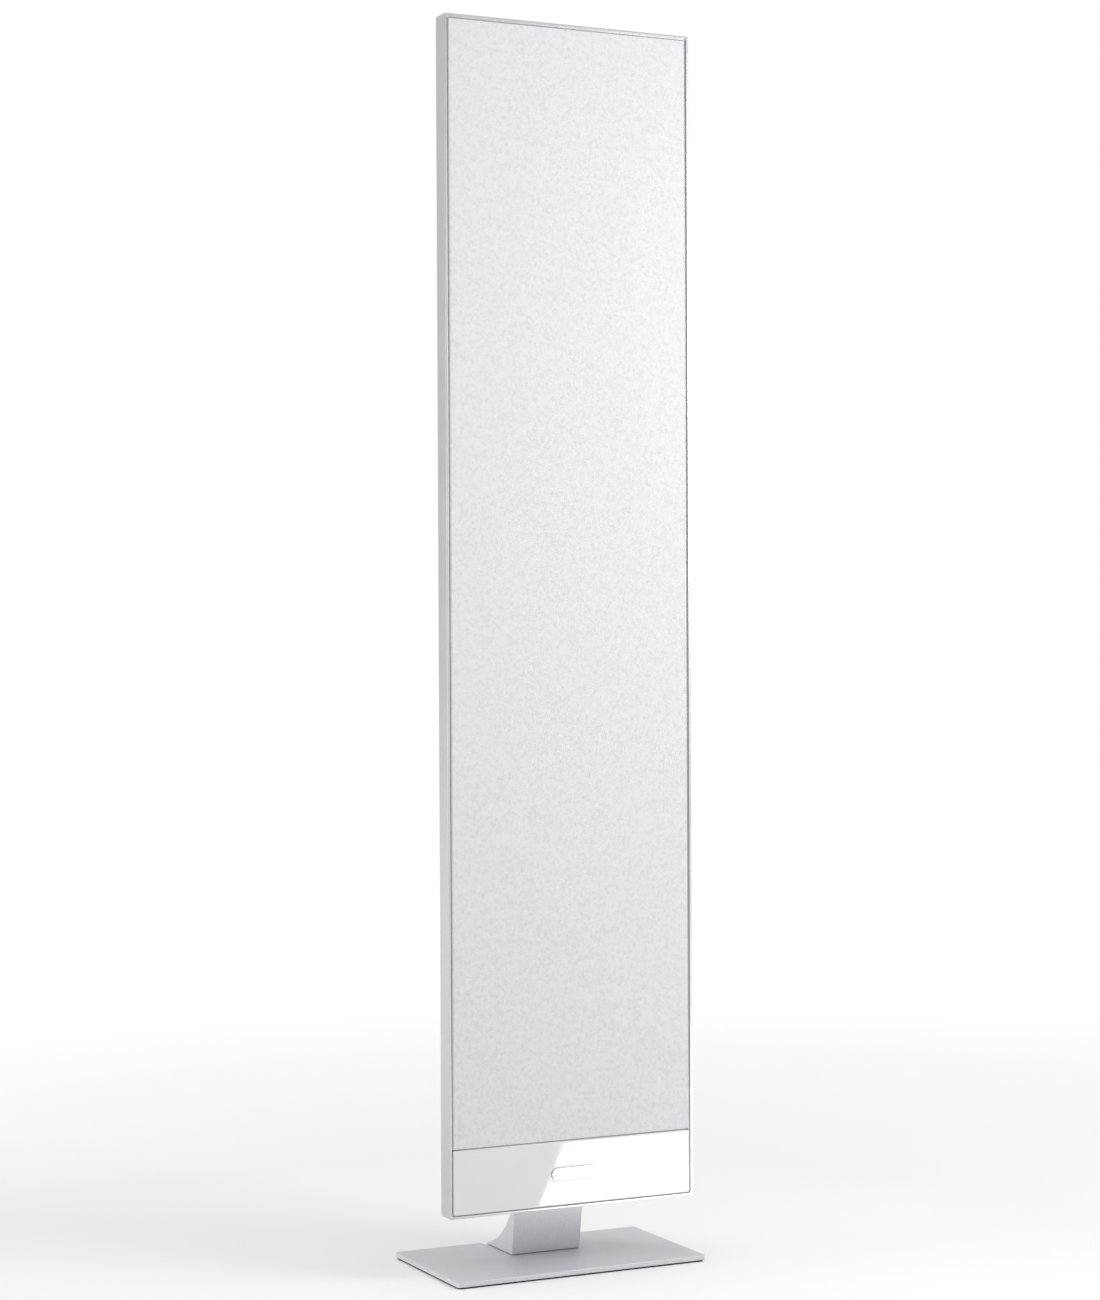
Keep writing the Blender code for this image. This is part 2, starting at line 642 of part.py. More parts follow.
def make_frame(looks, cabinet):
    """The aluminium frame: a thin flank with a flange turned in at its back."""
    rear, radius = FRAME_DEPTH, FRAME_REAR_RADIUS
    turn = arc((0, rear - radius), radius, 0, 90, CORNER_STEPS)
    rounding = [(radius - x, depth, FRAME_CORNER) for x, depth in turn]
    inner_corner = FRAME_CORNER / 2
    sections = [(FRAME_WALL, 0, inner_corner), (FRAME_FRONT_CHAMFER, 0, FRAME_CORNER),
                (0, FRAME_FRONT_CHAMFER, FRAME_CORNER)] + rounding
    sections += [(FRAME_FLANGE_REACH, rear, inner_corner),
                 (FRAME_FLANGE_REACH, rear - FRAME_FLANGE, inner_corner),
                 (FRAME_WALL, rear - FRAME_FLANGE, inner_corner)]
    frame = loft("outer_frame", sections, True, looks["silver_frame"], cabinet)
    cut(frame, cover_screw_cutter("frame_screw_holes", rear - FRAME_FLANGE - PAST, rear + PAST, cabinet))


def cover_screw_places():
    return [(side * COVER_SCREW_X, z) for z in COVER_SCREW_HEIGHTS for side in (-1, 1)]


def cover_screw_cutter(name, near, far, cabinet):
    return rods(name, cover_screw_places(), SCREW_M3_PAN[2] + SCREW_CLEARANCE, near, far, cabinet)


def driver_hole(work, radius, body, centre):
    """The stepped hole that a driver's flange and body sit in."""
    step = BAFFLE_FRONT + DRIVER_FLANGE + TOUCH
    near, far = BAFFLE_FRONT - PAST, BAFFLE_REAR + PAST
    outline = [(0, near), (radius + TOUCH, near), (radius + TOUCH, step), (body, step), (body, far), (0, far)]
    add_lathe(work, outline, ROUND, (0, 0, centre))


def woofer_screw_places(centre, outward):
    """Three screws on a circle, one of them pointing away from the tweeter."""
    circle = FLANGE_RADIUS - WOOFER_SCREW_INSET
    turns = [math.radians(90 * outward + 120 * i) for i in range(3)]
    return [(circle * math.cos(t), centre + circle * math.sin(t)) for t in turns]


def tweeter_screw_places():
    reach = TWEETER_FLANGE_RADIUS - TWEETER_SCREW_INSET
    return [(-reach, TWEETER), (reach, TWEETER)]


def peg_places():
    return [(side * PEG_X, z) for z in PEG_HEIGHTS for side in (-1, 1)]


def make_baffle(looks, cabinet):
    edge = FRAME_WALL + TOUCH
    outline = rounded_rectangle(HALF_WIDTH - edge, edge, PANEL_HEIGHT - edge, FRAME_CORNER)
    baffle = prism("front_baffle", outline, BAFFLE_FRONT, BAFFLE_REAR, looks["baffle_plastic"], cabinet)
    across, up = BOARD_WIDTH / 2 - BOARD_HOLE_MARGIN, BOARD_HEIGHT / 2 - BOARD_HOLE_MARGIN
    corners = [(sx * across, BOARD_CENTRE + sz * up) for sx in (-1, 1) for sz in (-1, 1)]
    weld(baffle, rods("board_bosses", corners, BOSS_RADIUS, BAFFLE_REAR - PAST, BAFFLE_REAR + BOSS_LENGTH,
                      cabinet))
    holes = bmesh.new()
    for centre in (UPPER_WOOFER, LOWER_WOOFER):
        driver_hole(holes, FLANGE_RADIUS, BODY_RADIUS + BODY_CLEARANCE, centre)
    driver_hole(holes, TWEETER_FLANGE_RADIUS, POT_RADIUS + POT_CLEARANCE, TWEETER)
    cut(baffle, solid("driver_holes", holes, None, cabinet))
    screws = woofer_screw_places(UPPER_WOOFER, 1) + woofer_screw_places(LOWER_WOOFER, -1)
    screws += tweeter_screw_places()
    cut(baffle, rods("driver_screw_holes", screws, SCREW_M3[2] + SCREW_CLEARANCE,
                     BAFFLE_FRONT + PAST, BAFFLE_REAR + PAST, cabinet, HOLE_SIDES))
    cut(baffle, rods("peg_sockets", peg_places(), PEG_RADIUS + PEG_CLEARANCE, BAFFLE_FRONT - PAST,
                     BAFFLE_FRONT + PEG_LENGTH, cabinet))
    cut(baffle, cover_screw_cutter("cover_screw_sockets", BAFFLE_FRONT + SOCKET_FLOOR, BAFFLE_REAR + PAST,
                                   cabinet))


def make_fascia(looks, cabinet):
    low = FRAME_WALL + FASCIA_FLOOR_GAP
    outline = rounded_rectangle(GRILLE_HALF_WIDTH, low, FASCIA_TOP, FASCIA_CORNER)
    fascia = prism("lower_fascia", outline, FASCIA_FRONT, BAFFLE_FRONT - TOUCH, looks["gloss_white"], cabinet)
    bevel(fascia, FASCIA_EDGE, 3)
    rear = FASCIA_FRONT - TOUCH
    middle = (low + FASCIA_TOP) / 2
    outline = rounded_rectangle(BADGE_LENGTH / 2, middle - BADGE_HEIGHT / 2, middle + BADGE_HEIGHT / 2,
                                BADGE_CORNER, 2 * CORNER_STEPS)
    badge = prism("badge", outline, rear - BADGE_THICKNESS, rear, looks["badge_metal"], cabinet)
    bevel(badge, BADGE_CHAMFER, 1)


def make_gasket(looks, cabinet):
    outer = FRAME_FLANGE_REACH + TOUCH
    inner = outer + GASKET_WIDTH
    near, far = BAFFLE_REAR + TOUCH, COVER_FRONT - TOUCH
    ring = ((outer, near), (outer, far), (inner, far), (inner, near))
    sections = [(inset, depth, FRAME_CORNER) for inset, depth in ring]
    loft("cabinet_gasket", sections, True, looks["foam_seal"], cabinet)


def make_rear_cover(looks, cabinet):
    """A brim that screws to the frame and a hollow pan that tapers to the back."""
    pan_rear = COVER_PAN_INSET + COVER_PAN_TAPER
    brim_rear = COVER_FRONT + COVER_WALL
    outside = [(COVER_BRIM_INSET, COVER_FRONT, COVER_BRIM_CORNER),
               (COVER_BRIM_INSET, brim_rear, COVER_BRIM_CORNER),
               (COVER_PAN_INSET, brim_rear, COVER_CORNER),
               (pan_rear, PANEL_DEPTH - COVER_PAN_EDGE, COVER_CORNER),
               (pan_rear + COVER_PAN_EDGE, PANEL_DEPTH, COVER_CORNER)]
    cover = loft("rear_cover", outside, False, looks["cover_plastic"], cabinet)
    inner_corner = COVER_CORNER - COVER_WALL
    hollow = loft("cover_hollow", [(COVER_PAN_INSET + COVER_WALL, COVER_FRONT - PAST, inner_corner),
                                   (COVER_PAN_INSET + COVER_WALL, brim_rear, inner_corner),
                                   (pan_rear + COVER_WALL, COVER_INSIDE, inner_corner)], False, None, cabinet)
    half, top = NECK_WIDTH / 2 + POCKET_SIDE_GAP, TONGUE_LENGTH + POCKET_TOP_GAP
    wall, behind = COVER_WALL, PANEL_DEPTH + PAST
    cut(hollow, box("pocket_wall", (-half - wall, POCKET_FLOOR - wall, -PAST),
                    (half + wall, behind, top + wall), parent=cabinet))
    cut(cover, hollow)
    cut(cover, box("tongue_pocket", (-half, POCKET_FLOOR, -PAST), (half, behind, top), parent=cabinet))
    cut(cover, cover_screw_cutter("cover_screw_holes", COVER_FRONT - PAST, brim_rear + PAST, cabinet))
    cut(cover, rods("cover_tongue_holes", [(0, h) for h in TONGUE_SCREW_HEIGHTS],
                    SCREW_M4[2] + SCREW_CLEARANCE, POCKET_FLOOR - wall - PAST, POCKET_FLOOR + PAST, cabinet))
    across, up = CUP_WIDTH / 2 + TOUCH, CUP_HEIGHT / 2 + TOUCH
    cut(cover, box("terminal_window", (-across, COVER_INSIDE - PAST, CUP_CENTRE_HEIGHT - up),
                   (across, behind, CUP_CENTRE_HEIGHT + up), parent=cabinet))


def make_shell_screws(looks, cabinet):
    names = [side + "_" + level for level in ("bottom", "middle", "top") for side in ("left", "right")]
    seat = COVER_FRONT + COVER_WALL + TOUCH
    for name, (x, z) in zip(names, cover_screw_places()):
        screw("cover_screw_" + name, SCREW_M3_PAN, seat - BAFFLE_FRONT - COVER_SCREW_END_GAP,
              looks["screw_black"], cabinet, (x, seat, z), "-Y")
    seat = POCKET_FLOOR + TOUCH + TONGUE_THICKNESS + TOUCH
    for name, height in zip(("lower", "upper"), TONGUE_SCREW_HEIGHTS):
        screw("tongue_screw_" + name, SCREW_M4, seat - POCKET_FLOOR + COVER_WALL + TONGUE_SCREW_END,
              looks["screw_zinc"], cabinet, (0, seat, height), "-Y")


# ---- Grille ----------------------------------------------------------------------------

def make_grille(looks, cabinet):
    grille = empty("grille", (0, 0, 0), cabinet)
    rear = CLOTH_FRONT + CLOTH_RETURN
    radius = CLOTH_EDGE_RADIUS
    fold = arc((0, CLOTH_FRONT + radius), radius, 0, -90, CORNER_STEPS)
    outside = [(0, rear)] + [(radius - x, y) for x, y in fold]
    wall = CLOTH_THICKNESS
    inside = [(radius, CLOTH_FRONT + wall), (wall, CLOTH_FRONT + radius), (wall, rear)]
    work = bmesh.new()
    loops = []
    for inset, depth in outside + inside:
        outline = rounded_rectangle(GRILLE_HALF_WIDTH - inset, GRILLE_BOTTOM + inset, GRILLE_TOP - inset,
                                    GRILLE_CORNER)
        loops.append(add_loop(work, [(x, depth, z) for x, z in outline]))
    for index, (first, second) in enumerate(zip(loops, loops[1:] + loops[:1])):
        if index != len(outside) - 1:
            bridge(work, first, second)
    work.faces.new(loops[len(outside) - 1])
    work.faces.new(loops[len(outside)])
    solid("grille_cloth", work, looks["grille_cloth"], grille)
    make_grille_frame(looks, grille)


def make_grille_frame(looks, grille):
    inset = FRAME_OF_GRILLE
    half, low, high = GRILLE_HALF_WIDTH - inset, GRILLE_BOTTOM + inset, GRILLE_TOP - inset
    near = CLOTH_FRONT + CLOTH_THICKNESS + TOUCH
    far = near + GRILLE_FRAME_THICKNESS
    outline = rounded_rectangle(half, low, high, GRILLE_CORNER)
    frame = prism("grille_frame", outline, near, far, looks["grille_plastic"], grille)
    edge = FLANGE_RADIUS + DRIVER_GAP / 2
    half_bar = GRILLE_CROSSBAR / 2
    bars = [BOARD_CENTRE, LOWER_WOOFER - edge, LOWER_WOOFER + edge, UPPER_WOOFER - edge]
    stations = [low + GRILLE_BAR - half_bar] + bars + [high - GRILLE_BAR + half_bar]
    windows = bmesh.new()
    for bottom, top in zip(stations, stations[1:]):
        add_box(windows, (-half + GRILLE_BAR, near - PAST, bottom + half_bar),
                (half - GRILLE_BAR, far + PAST, top - half_bar))
    cut(frame, solid("grille_windows", windows, None, grille))
    weld(frame, rods("grille_pegs", peg_places(), PEG_RADIUS, far - PAST,
                     BAFFLE_FRONT + PEG_LENGTH - TOUCH - PEG_CLEARANCE, grille))


# ---- Woofers ---------------------------------------------------------------------------

def band(middle, thickness):
    """A closed outline of even thickness round a middle line of (radius, depth)."""
    half = thickness / 2
    return [(r, d - half) for r, d in middle] + [(r, d + half) for r, d in reversed(middle)]


def cone_face(radius):
    """Depth of the cone's front face at a radius."""
    return CONE_FRONT + CONE_DEPTH * (CONE_OUTER - radius) / (CONE_OUTER - CONE_INNER)


def dome_arc(radius, rise, rim, steps=4):
    """A quarter of a dome's outline, from its crown to its rim."""
    turns = [math.pi / 2 * i / steps for i in range(steps + 1)]
    return [(radius * math.sin(t), rim - rise * math.cos(t)) for t in turns]


def make_woofer(name, height, outward, looks, cabinet):
    """A shallow woofer whose parts are measured back from its flange's front."""
    axis = empty(name + "_woofer", (0, BAFFLE_FRONT, height), cabinet)
    rear = BASKET_REAR + BASKET_REAR_THICKNESS
    wall = BASKET_WALL
    shoulder = BASKET_REAR - BASKET_SHOULDER
    tapered = BODY_RADIUS - BASKET_DRAFT
    ledge = TOP_PLATE_RADIUS + SPIDER_LEDGE
    basket = [(FLANGE_RADIUS, 0), (FLANGE_RADIUS, DRIVER_FLANGE), (BODY_RADIUS, DRIVER_FLANGE),
              (tapered, shoulder), (ledge + PAST, rear), (BASKET_THROAT, rear), (BASKET_THROAT, BASKET_REAR),
              (ledge, BASKET_REAR), (tapered - wall, shoulder - BASKET_SHOULDER_STEP),
              (BODY_RADIUS - wall, BASKET_SHELF_DEPTH), (SHELF_RADIUS, BASKET_SHELF_DEPTH), (SHELF_RADIUS, 0)]
    frame = lathe(name + "_basket", basket, looks["basket_alloy"], axis)
    spots = [(x, z - height) for x, z in woofer_screw_places(height, outward)]
    cut(frame, rods(name + "_flange_holes", spots, SCREW_M3[2] + SCREW_CLEARANCE, -PAST, DRIVER_FLANGE + PAST,
                    axis, HOLE_SIDES))
    for number, (x, z) in enumerate(spots, 1):
        screw(f"{name}_woofer_screw_{number}", SCREW_M3, BAFFLE_THICKNESS - SCREW_END_GAP,
              looks["screw_black"], axis, (x, -TOUCH, z), "+Y")
    make_diaphragm(name, looks, axis)
    make_motor(name, looks, axis)


def make_diaphragm(name, looks, axis):
    """The surround, the cone with its dust cap and voice coil, and the spider."""
    steps = 4
    turns = [math.pi * i / steps for i in range(steps + 1)]
    roll = [(ROLL_OUTER - SURROUND_ROLL * i / steps, SURROUND_FRONT + SURROUND_DROP * (1 - math.cos(t)) / 2)
            for i, t in enumerate(turns)]
    middle = [(SHELF_RADIUS - TOUCH, SURROUND_FRONT)] + roll + [(ROLL_INNER - CONE_EDGE, SURROUND_SEAT)]
    lathe(name + "_surround", band(middle, SURROUND_THICKNESS), looks["surround_rubber"], axis)
    rear = CONE_FRONT + CONE_THICKNESS
    cone = [(ROLL_INNER, CONE_FRONT), (CONE_OUTER, CONE_FRONT), (CONE_INNER, cone_face(CONE_INNER)),
            (CONE_INNER, cone_face(CONE_INNER) + CONE_THICKNESS), (CONE_OUTER - CONE_EDGE_CUT, rear),
            (ROLL_INNER, rear)]
    lathe(name + "_cone", cone, looks["cone_fibre"], axis)
    rim = cone_face(DUST_CAP_RADIUS) - DUST_CAP_LIFT
    outside = dome_arc(DUST_CAP_RADIUS, DUST_CAP_RISE, rim)
    inside = dome_arc(DUST_CAP_RADIUS - DUST_CAP_THICKNESS, DUST_CAP_RISE - DUST_CAP_THICKNESS, rim)
    lathe(name + "_dust_cap", outside + inside[::-1], looks["cone_fibre"], axis)
    coil_rear = COIL_FRONT + COIL_LENGTH
    tube(name + "_voice_coil", COIL_INNER, COIL_OUTER, COIL_FRONT, coil_rear, looks["coil_copper"], axis)
    glue = BASKET_REAR - TOUCH - SPIDER_THICKNESS / 2
    neck, inner, outer = COIL_OUTER + TOUCH, COIL_OUTER + TOUCH + SPIDER_NECK, SPIDER_OUTER - SPIDER_FOOT
    steps = 2 * SPIDER_WAVES
    middle = [(neck, glue - SPIDER_DROP)]
    for i in range(steps + 1):
        crest = SPIDER_WAVE_HEIGHT * abs(math.sin(math.pi * SPIDER_WAVES * i / steps))
        middle.append((inner + (outer - inner) * i / steps, glue - SPIDER_DROP * (1 - i / steps) - crest))
    middle.append((SPIDER_OUTER, glue))
    lathe(name + "_spider", band(middle, SPIDER_THICKNESS), looks["spider_cloth"], axis)


def make_motor(name, looks, axis):
    hole = COIL_OUTER + COIL_CLEARANCE
    front = TOP_PLATE_FRONT
    back = front + TOP_PLATE_THICKNESS
    tube(name + "_top_plate", hole, TOP_PLATE_RADIUS, front, back, looks["motor_steel"], axis)
    yoke_front = MOTOR_REAR - YOKE_THICKNESS
    tube(name + "_magnet", MAGNET_HOLE, MAGNET_RADIUS, back + TOUCH, yoke_front - TOUCH,
         looks["magnet"], axis)
    pole = COIL_INNER - COIL_CLEARANCE
    yoke = [(0, front), (pole, front), (pole, yoke_front), (TOP_PLATE_RADIUS, yoke_front),
            (TOP_PLATE_RADIUS, MOTOR_REAR), (0, MOTOR_REAR)]
    lathe(name + "_yoke", yoke, looks["motor_steel"], axis)


# ---- Tweeter ---------------------------------------------------------------------------

def make_tweeter(looks, cabinet):
    """A dome tweeter in a shallow horn, measured back from its flange's front."""
    axis = empty("tweeter", (0, BAFFLE_FRONT, TWEETER), cabinet)
    throat = DOME_RADIUS + TWEETER_THROAT_GAP
    back = DRIVER_FLANGE + FACEPLATE_BACK
    plate = [(TWEETER_FLANGE_RADIUS, 0), (TWEETER_FLANGE_RADIUS, DRIVER_FLANGE),
             (POT_RADIUS + FACEPLATE_BACK, DRIVER_FLANGE), (POT_RADIUS, back), (throat, back),
             (throat, DRIVER_FLANGE - HORN_STEP), (throat + HORN_KNEE, HORN_KNEE_DEPTH),
             (throat + HORN_WIDTH, 0)]
    face = lathe("tweeter_faceplate", plate, looks["faceplate_plastic"], axis)
    spots = [(x, z - TWEETER) for x, z in tweeter_screw_places()]
    cut(face, rods("faceplate_holes", spots, SCREW_M3[2] + SCREW_CLEARANCE, -PAST, DRIVER_FLANGE + PAST, axis,
                   HOLE_SIDES))
    for side, (x, z) in zip(("left", "right"), spots):
        screw("tweeter_screw_" + side, SCREW_M3, BAFFLE_THICKNESS - SCREW_END_GAP, looks["screw_black"], axis,
              (x, -TOUCH, z), "+Y")
    base = back + 2 * TOUCH
    outside = dome_arc(DOME_RADIUS, DOME_RISE, base)
    skirt = base + DOME_THICKNESS + DOME_SKIRT
    inner = DOME_RADIUS - DOME_THICKNESS
    edge = [(DOME_RADIUS + DOME_EDGE, base), (DOME_RADIUS + DOME_EDGE, base + DOME_THICKNESS),
            (DOME_RADIUS, base + DOME_THICKNESS), (DOME_RADIUS, skirt), (inner, skirt), (inner, base)]
    inside = [(r * inner / DOME_RADIUS, d + DOME_THICKNESS) for r, d in reversed(outside[:-1])]
    lathe("tweeter_dome", outside + edge + inside, looks["dome_alloy"], axis)
    pot_front = base + DOME_THICKNESS + 2 * TOUCH
    pot_rear = pot_front + POT_LENGTH
    hollow = POT_RADIUS - POT_WALL
    pot = [(0, pot_rear), (POT_RADIUS, pot_rear), (POT_RADIUS, pot_front), (hollow, pot_front),
           (hollow, pot_rear - POT_WALL), (0, pot_rear - POT_WALL)]
    lathe("tweeter_pot", pot, looks["motor_steel"], axis)
    core = inner - COIL_CLEARANCE
    near, far = pot_front + TWEETER_MAGNET_SINK, pot_rear - POT_WALL - TOUCH
    lathe("tweeter_magnet", [(0, near), (core, near), (core, far), (0, far)], looks["magnet"], axis)


# ---- Crossover and leads ---------------------------------------------------------------

def make_crossover(looks, cabinet):
    board = empty("crossover", (0, BOARD_REAR, BOARD_CENTRE), cabinet)
    box("crossover_board", (-BOARD_WIDTH / 2, -BOARD_THICKNESS, -BOARD_HEIGHT / 2),
        (BOARD_WIDTH / 2, 0, BOARD_HEIGHT / 2), looks["circuit_board"], board)
    bottom = TOUCH
    tube("crossover_inductor", INDUCTOR_HOLE, INDUCTOR_RADIUS, bottom, bottom + INDUCTOR_HEIGHT,
         looks["coil_copper"], board, INDUCTOR_PLACE, SMALL_ROUND)
    width, height, length = CAPACITOR_SIZE
    capacitor = box("crossover_capacitor", (-width / 2, bottom, -length / 2),
                    (width / 2, bottom + height, length / 2), looks["capacitor_film"], board, CAPACITOR_PLACE)
    bevel(capacitor, CAPACITOR_EDGE)


def lead(name, stations, looks, cabinet):
    """A twin lead laid through hand-set stations (x, depth, height)."""
    curve = bpy.data.curves.new(name, "CURVE")
    curve.dimensions = "3D"
    curve.bevel_depth = LEAD_RADIUS * MM
    curve.bevel_resolution = 1
    curve.use_fill_caps = True
    points = smooth_route(stations, 3)
    spline = curve.splines.new("POLY")
    spline.points.add(len(points) - 1)
    for target, point in zip(spline.points, points):
        target.co = metres(*point) + [1]
    return place(name, curve, looks["lead_insulation"], cabinet, (0, 0, 0))


def make_leads(looks, cabinet):
    """From the terminals to the board, and on from the board to the drivers."""
    off_board = BOARD_REAR + TOUCH + LEAD_RADIUS
    end = CUP_INNER - TOUCH
    lead("input_lead", [(0, end, CUP_CENTRE_HEIGHT), (0, end - 4, CUP_CENTRE_HEIGHT + 2),
                        (8, off_board + 2, CUP_CENTRE_HEIGHT + 24),
                        (26, off_board, BOARD_CENTRE - BOARD_HEIGHT / 2 + 6),
                        (30, off_board, BOARD_CENTRE - 12)],
         looks, cabinet)
    side = BODY_RADIUS + 2.0
    deep = BAFFLE_REAR + 3.5
    lead("tweeter_lead", [(-30, off_board, BOARD_CENTRE + 34), (-34, off_board, BOARD_TOP + 2),
                          (-side, deep, LOWER_WOOFER - 30), (-side - 1, deep, LOWER_WOOFER),
                          (-side, deep, LOWER_WOOFER + 34), (-36, deep + 1, TWEETER - 14),
                          (-POT_RADIUS - TOUCH - LEAD_RADIUS, deep + 2, TWEETER)], looks, cabinet)
    lead("woofer_lead", [(30, off_board, BOARD_CENTRE + 34), (34, off_board, BOARD_TOP + 2),
                         (side, deep, LOWER_WOOFER - 30), (side + 1, deep, LOWER_WOOFER),
                         (side, deep, LOWER_WOOFER + 34), (42, deep + 1, TWEETER),
                         (side, deep, UPPER_WOOFER - 26), (side + 0.5, deep, UPPER_WOOFER)], looks, cabinet)


# ---- Terminals -------------------------------------------------------------------------

def make_terminals(looks, cabinet):
    """A moulded cup in the rear cover, with a wire socket and a sprung lever each side."""
    cup = empty("terminals", (0, 0, CUP_CENTRE_HEIGHT), cabinet)
    half_width, half_height = CUP_WIDTH / 2, CUP_HEIGHT / 2
    lap = CUP_FLANGE_OVERLAP
    flange_front = PANEL_DEPTH + TOUCH
    outline = rounded_rectangle(half_width + lap, -half_height - lap, half_height + lap, CUP_FLANGE_CORNER)
    flange_rear = flange_front + CUP_FLANGE
    flange = prism("terminal_cup", outline, flange_front, flange_rear, looks["terminal_black"], cup)
    weld(flange, box("cup_body", (-half_width, CUP_INNER, -half_height),
                     (half_width, flange_front + CUP_FLANGE / 2, half_height), parent=cup))
    across, up = half_width - CUP_WALL, half_height - CUP_WALL
    cut(flange, box("cup_recess", (-across, CUP_FACE, -up), (across, flange_rear + PAST, up), parent=cup))
    sockets, wells = bmesh.new(), bmesh.new()
    trunnion_hole = bmesh.new()
    half_lever = LEVER_WIDTH / 2 + LEVER_SIDE_GAP
    for x in (-SOCKET_SPREAD, SOCKET_SPREAD):
        half = SOCKET_SIZE / 2
        add_box(sockets, (x - half, CUP_FACE - SOCKET_DEPTH, -SOCKET_DROP - half),
                (x + half, CUP_FACE + PAST, -SOCKET_DROP + half))
        add_box(wells, (x - half_lever, CUP_FACE - LEVER_WELL_DEPTH,
                        LEVER_PIVOT_HEIGHT - LEVER_TAIL - LEVER_END_GAP),
                (x + half_lever, CUP_FACE + PAST, LEVER_PIVOT_HEIGHT + LEVER_LENGTH + LEVER_END_GAP))
        reach = half_lever + TRUNNION_REACH
        radius = TRUNNION_RADIUS + TRUNNION_CLEARANCE
        outline = [(0, -reach), (radius, -reach), (radius, reach), (0, reach)]
        add_lathe(trunnion_hole, outline, SCREW_SIDES, (x, LEVER_PIVOT_DEPTH, LEVER_PIVOT_HEIGHT), "X")
    cut(flange, solid("wire_sockets", sockets, None, cup))
    cut(flange, solid("lever_wells", wells, None, cup))
    cut(flange, solid("trunnion_holes", trunnion_hole, None, cup))
    make_lever("terminal_lever_black", -SOCKET_SPREAD, looks["lever_black"], cup)
    make_lever("terminal_lever_red", SOCKET_SPREAD, looks["lever_red"], cup)


def make_lever(name, x, material, cup):
    """A press lever on two trunnions, made round its pivot, with a ridge for the thumb."""
    pivot = empty(name + "_pivot", (x, LEVER_PIVOT_DEPTH, LEVER_PIVOT_HEIGHT), cup)
    under, face = -LEVER_SOLE, LEVER_THICKNESS - LEVER_SOLE
    ridge, tip, soft = face + LEVER_RIDGE, LEVER_LENGTH, LEVER_ROUND
    outline = [(under, -LEVER_TAIL), (face - soft, -LEVER_TAIL), (face, -LEVER_TAIL + soft),
               (face, tip - LEVER_RIDGE_FOOT), (ridge, tip - LEVER_RIDGE_TOP), (ridge, tip - soft),
               (ridge - soft, tip), (under, tip)]
    work = bmesh.new()
    sides = [add_loop(work, [(side * LEVER_WIDTH / 2, y, z) for y, z in outline]) for side in (-1, 1)]
    bridge(work, *sides)
    for side in sides:
        work.faces.new(side)
    lever = solid(name, work, material, pivot)
    reach = LEVER_WIDTH / 2 + LEVER_SIDE_GAP + TRUNNION_REACH - TOUCH
    pins = bmesh.new()
    outline = [(0, -reach), (TRUNNION_RADIUS, -reach), (TRUNNION_RADIUS, reach), (0, reach)]
    add_lathe(pins, outline, SCREW_SIDES, axis="X")
    weld(lever, solid("trunnions_of_" + name, pins, None, pivot))


# ---- The whole loudspeaker -------------------------------------------------------------

def main():
    for old in list(bpy.data.objects):
        bpy.data.objects.remove(old)
    looks = make_finishes()
    make_stand(looks)
    cabinet = empty("cabinet", (0, PANEL_FRONT, PANEL_BOTTOM))
    make_frame(looks, cabinet)
    make_baffle(looks, cabinet)
    make_fascia(looks, cabinet)
    make_gasket(looks, cabinet)
    make_rear_cover(looks, cabinet)
    make_shell_screws(looks, cabinet)
    make_grille(looks, cabinet)
    make_woofer("upper", UPPER_WOOFER, 1, looks, cabinet)
    make_woofer("lower", LOWER_WOOFER, -1, looks, cabinet)
    make_tweeter(looks, cabinet)
    make_crossover(looks, cabinet)
    make_leads(looks, cabinet)
    make_terminals(looks, cabinet)


main()
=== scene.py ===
"""The looks of a slim flat-panel loudspeaker on a low desk stand.

The file is laid out as a Blender add-on and run as a script. Each operator makes one piece of the
loudspeaker, or one group of like pieces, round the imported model, and one sets the stage. Places come
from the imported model, and every size is in metres: MM is one millimetre.
"""

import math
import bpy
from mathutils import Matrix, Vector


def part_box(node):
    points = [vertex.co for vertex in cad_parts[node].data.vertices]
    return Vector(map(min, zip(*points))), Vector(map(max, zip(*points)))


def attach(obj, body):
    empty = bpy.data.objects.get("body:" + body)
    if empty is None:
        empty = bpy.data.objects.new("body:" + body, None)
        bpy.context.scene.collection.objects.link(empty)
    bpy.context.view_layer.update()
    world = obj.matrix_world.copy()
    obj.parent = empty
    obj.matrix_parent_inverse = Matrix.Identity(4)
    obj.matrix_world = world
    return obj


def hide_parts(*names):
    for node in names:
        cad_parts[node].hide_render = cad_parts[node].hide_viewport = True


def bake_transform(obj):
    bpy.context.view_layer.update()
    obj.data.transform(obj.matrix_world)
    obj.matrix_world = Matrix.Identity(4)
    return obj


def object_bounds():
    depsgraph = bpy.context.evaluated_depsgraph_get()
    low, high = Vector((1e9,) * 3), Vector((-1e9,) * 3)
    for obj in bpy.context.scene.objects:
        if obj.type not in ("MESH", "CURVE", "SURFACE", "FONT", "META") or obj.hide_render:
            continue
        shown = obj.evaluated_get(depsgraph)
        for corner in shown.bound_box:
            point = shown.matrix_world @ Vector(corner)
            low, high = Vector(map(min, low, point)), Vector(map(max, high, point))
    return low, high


bl_info = {
    "name": "Flat-Panel Loudspeaker",
    "version": (1, 0, 0),
    "blender": (4, 5, 0),
    "location": "View3D > Sidebar > Loudspeaker",
    "description": "Makes the fine surfaces of a slim loudspeaker on a desk stand",
    "category": "Object",
}

from functools import partial

import bmesh
import bpy
from bpy.props import FloatProperty, FloatVectorProperty, IntProperty, PointerProperty
from mathutils import Euler, Matrix, Quaternion, Vector

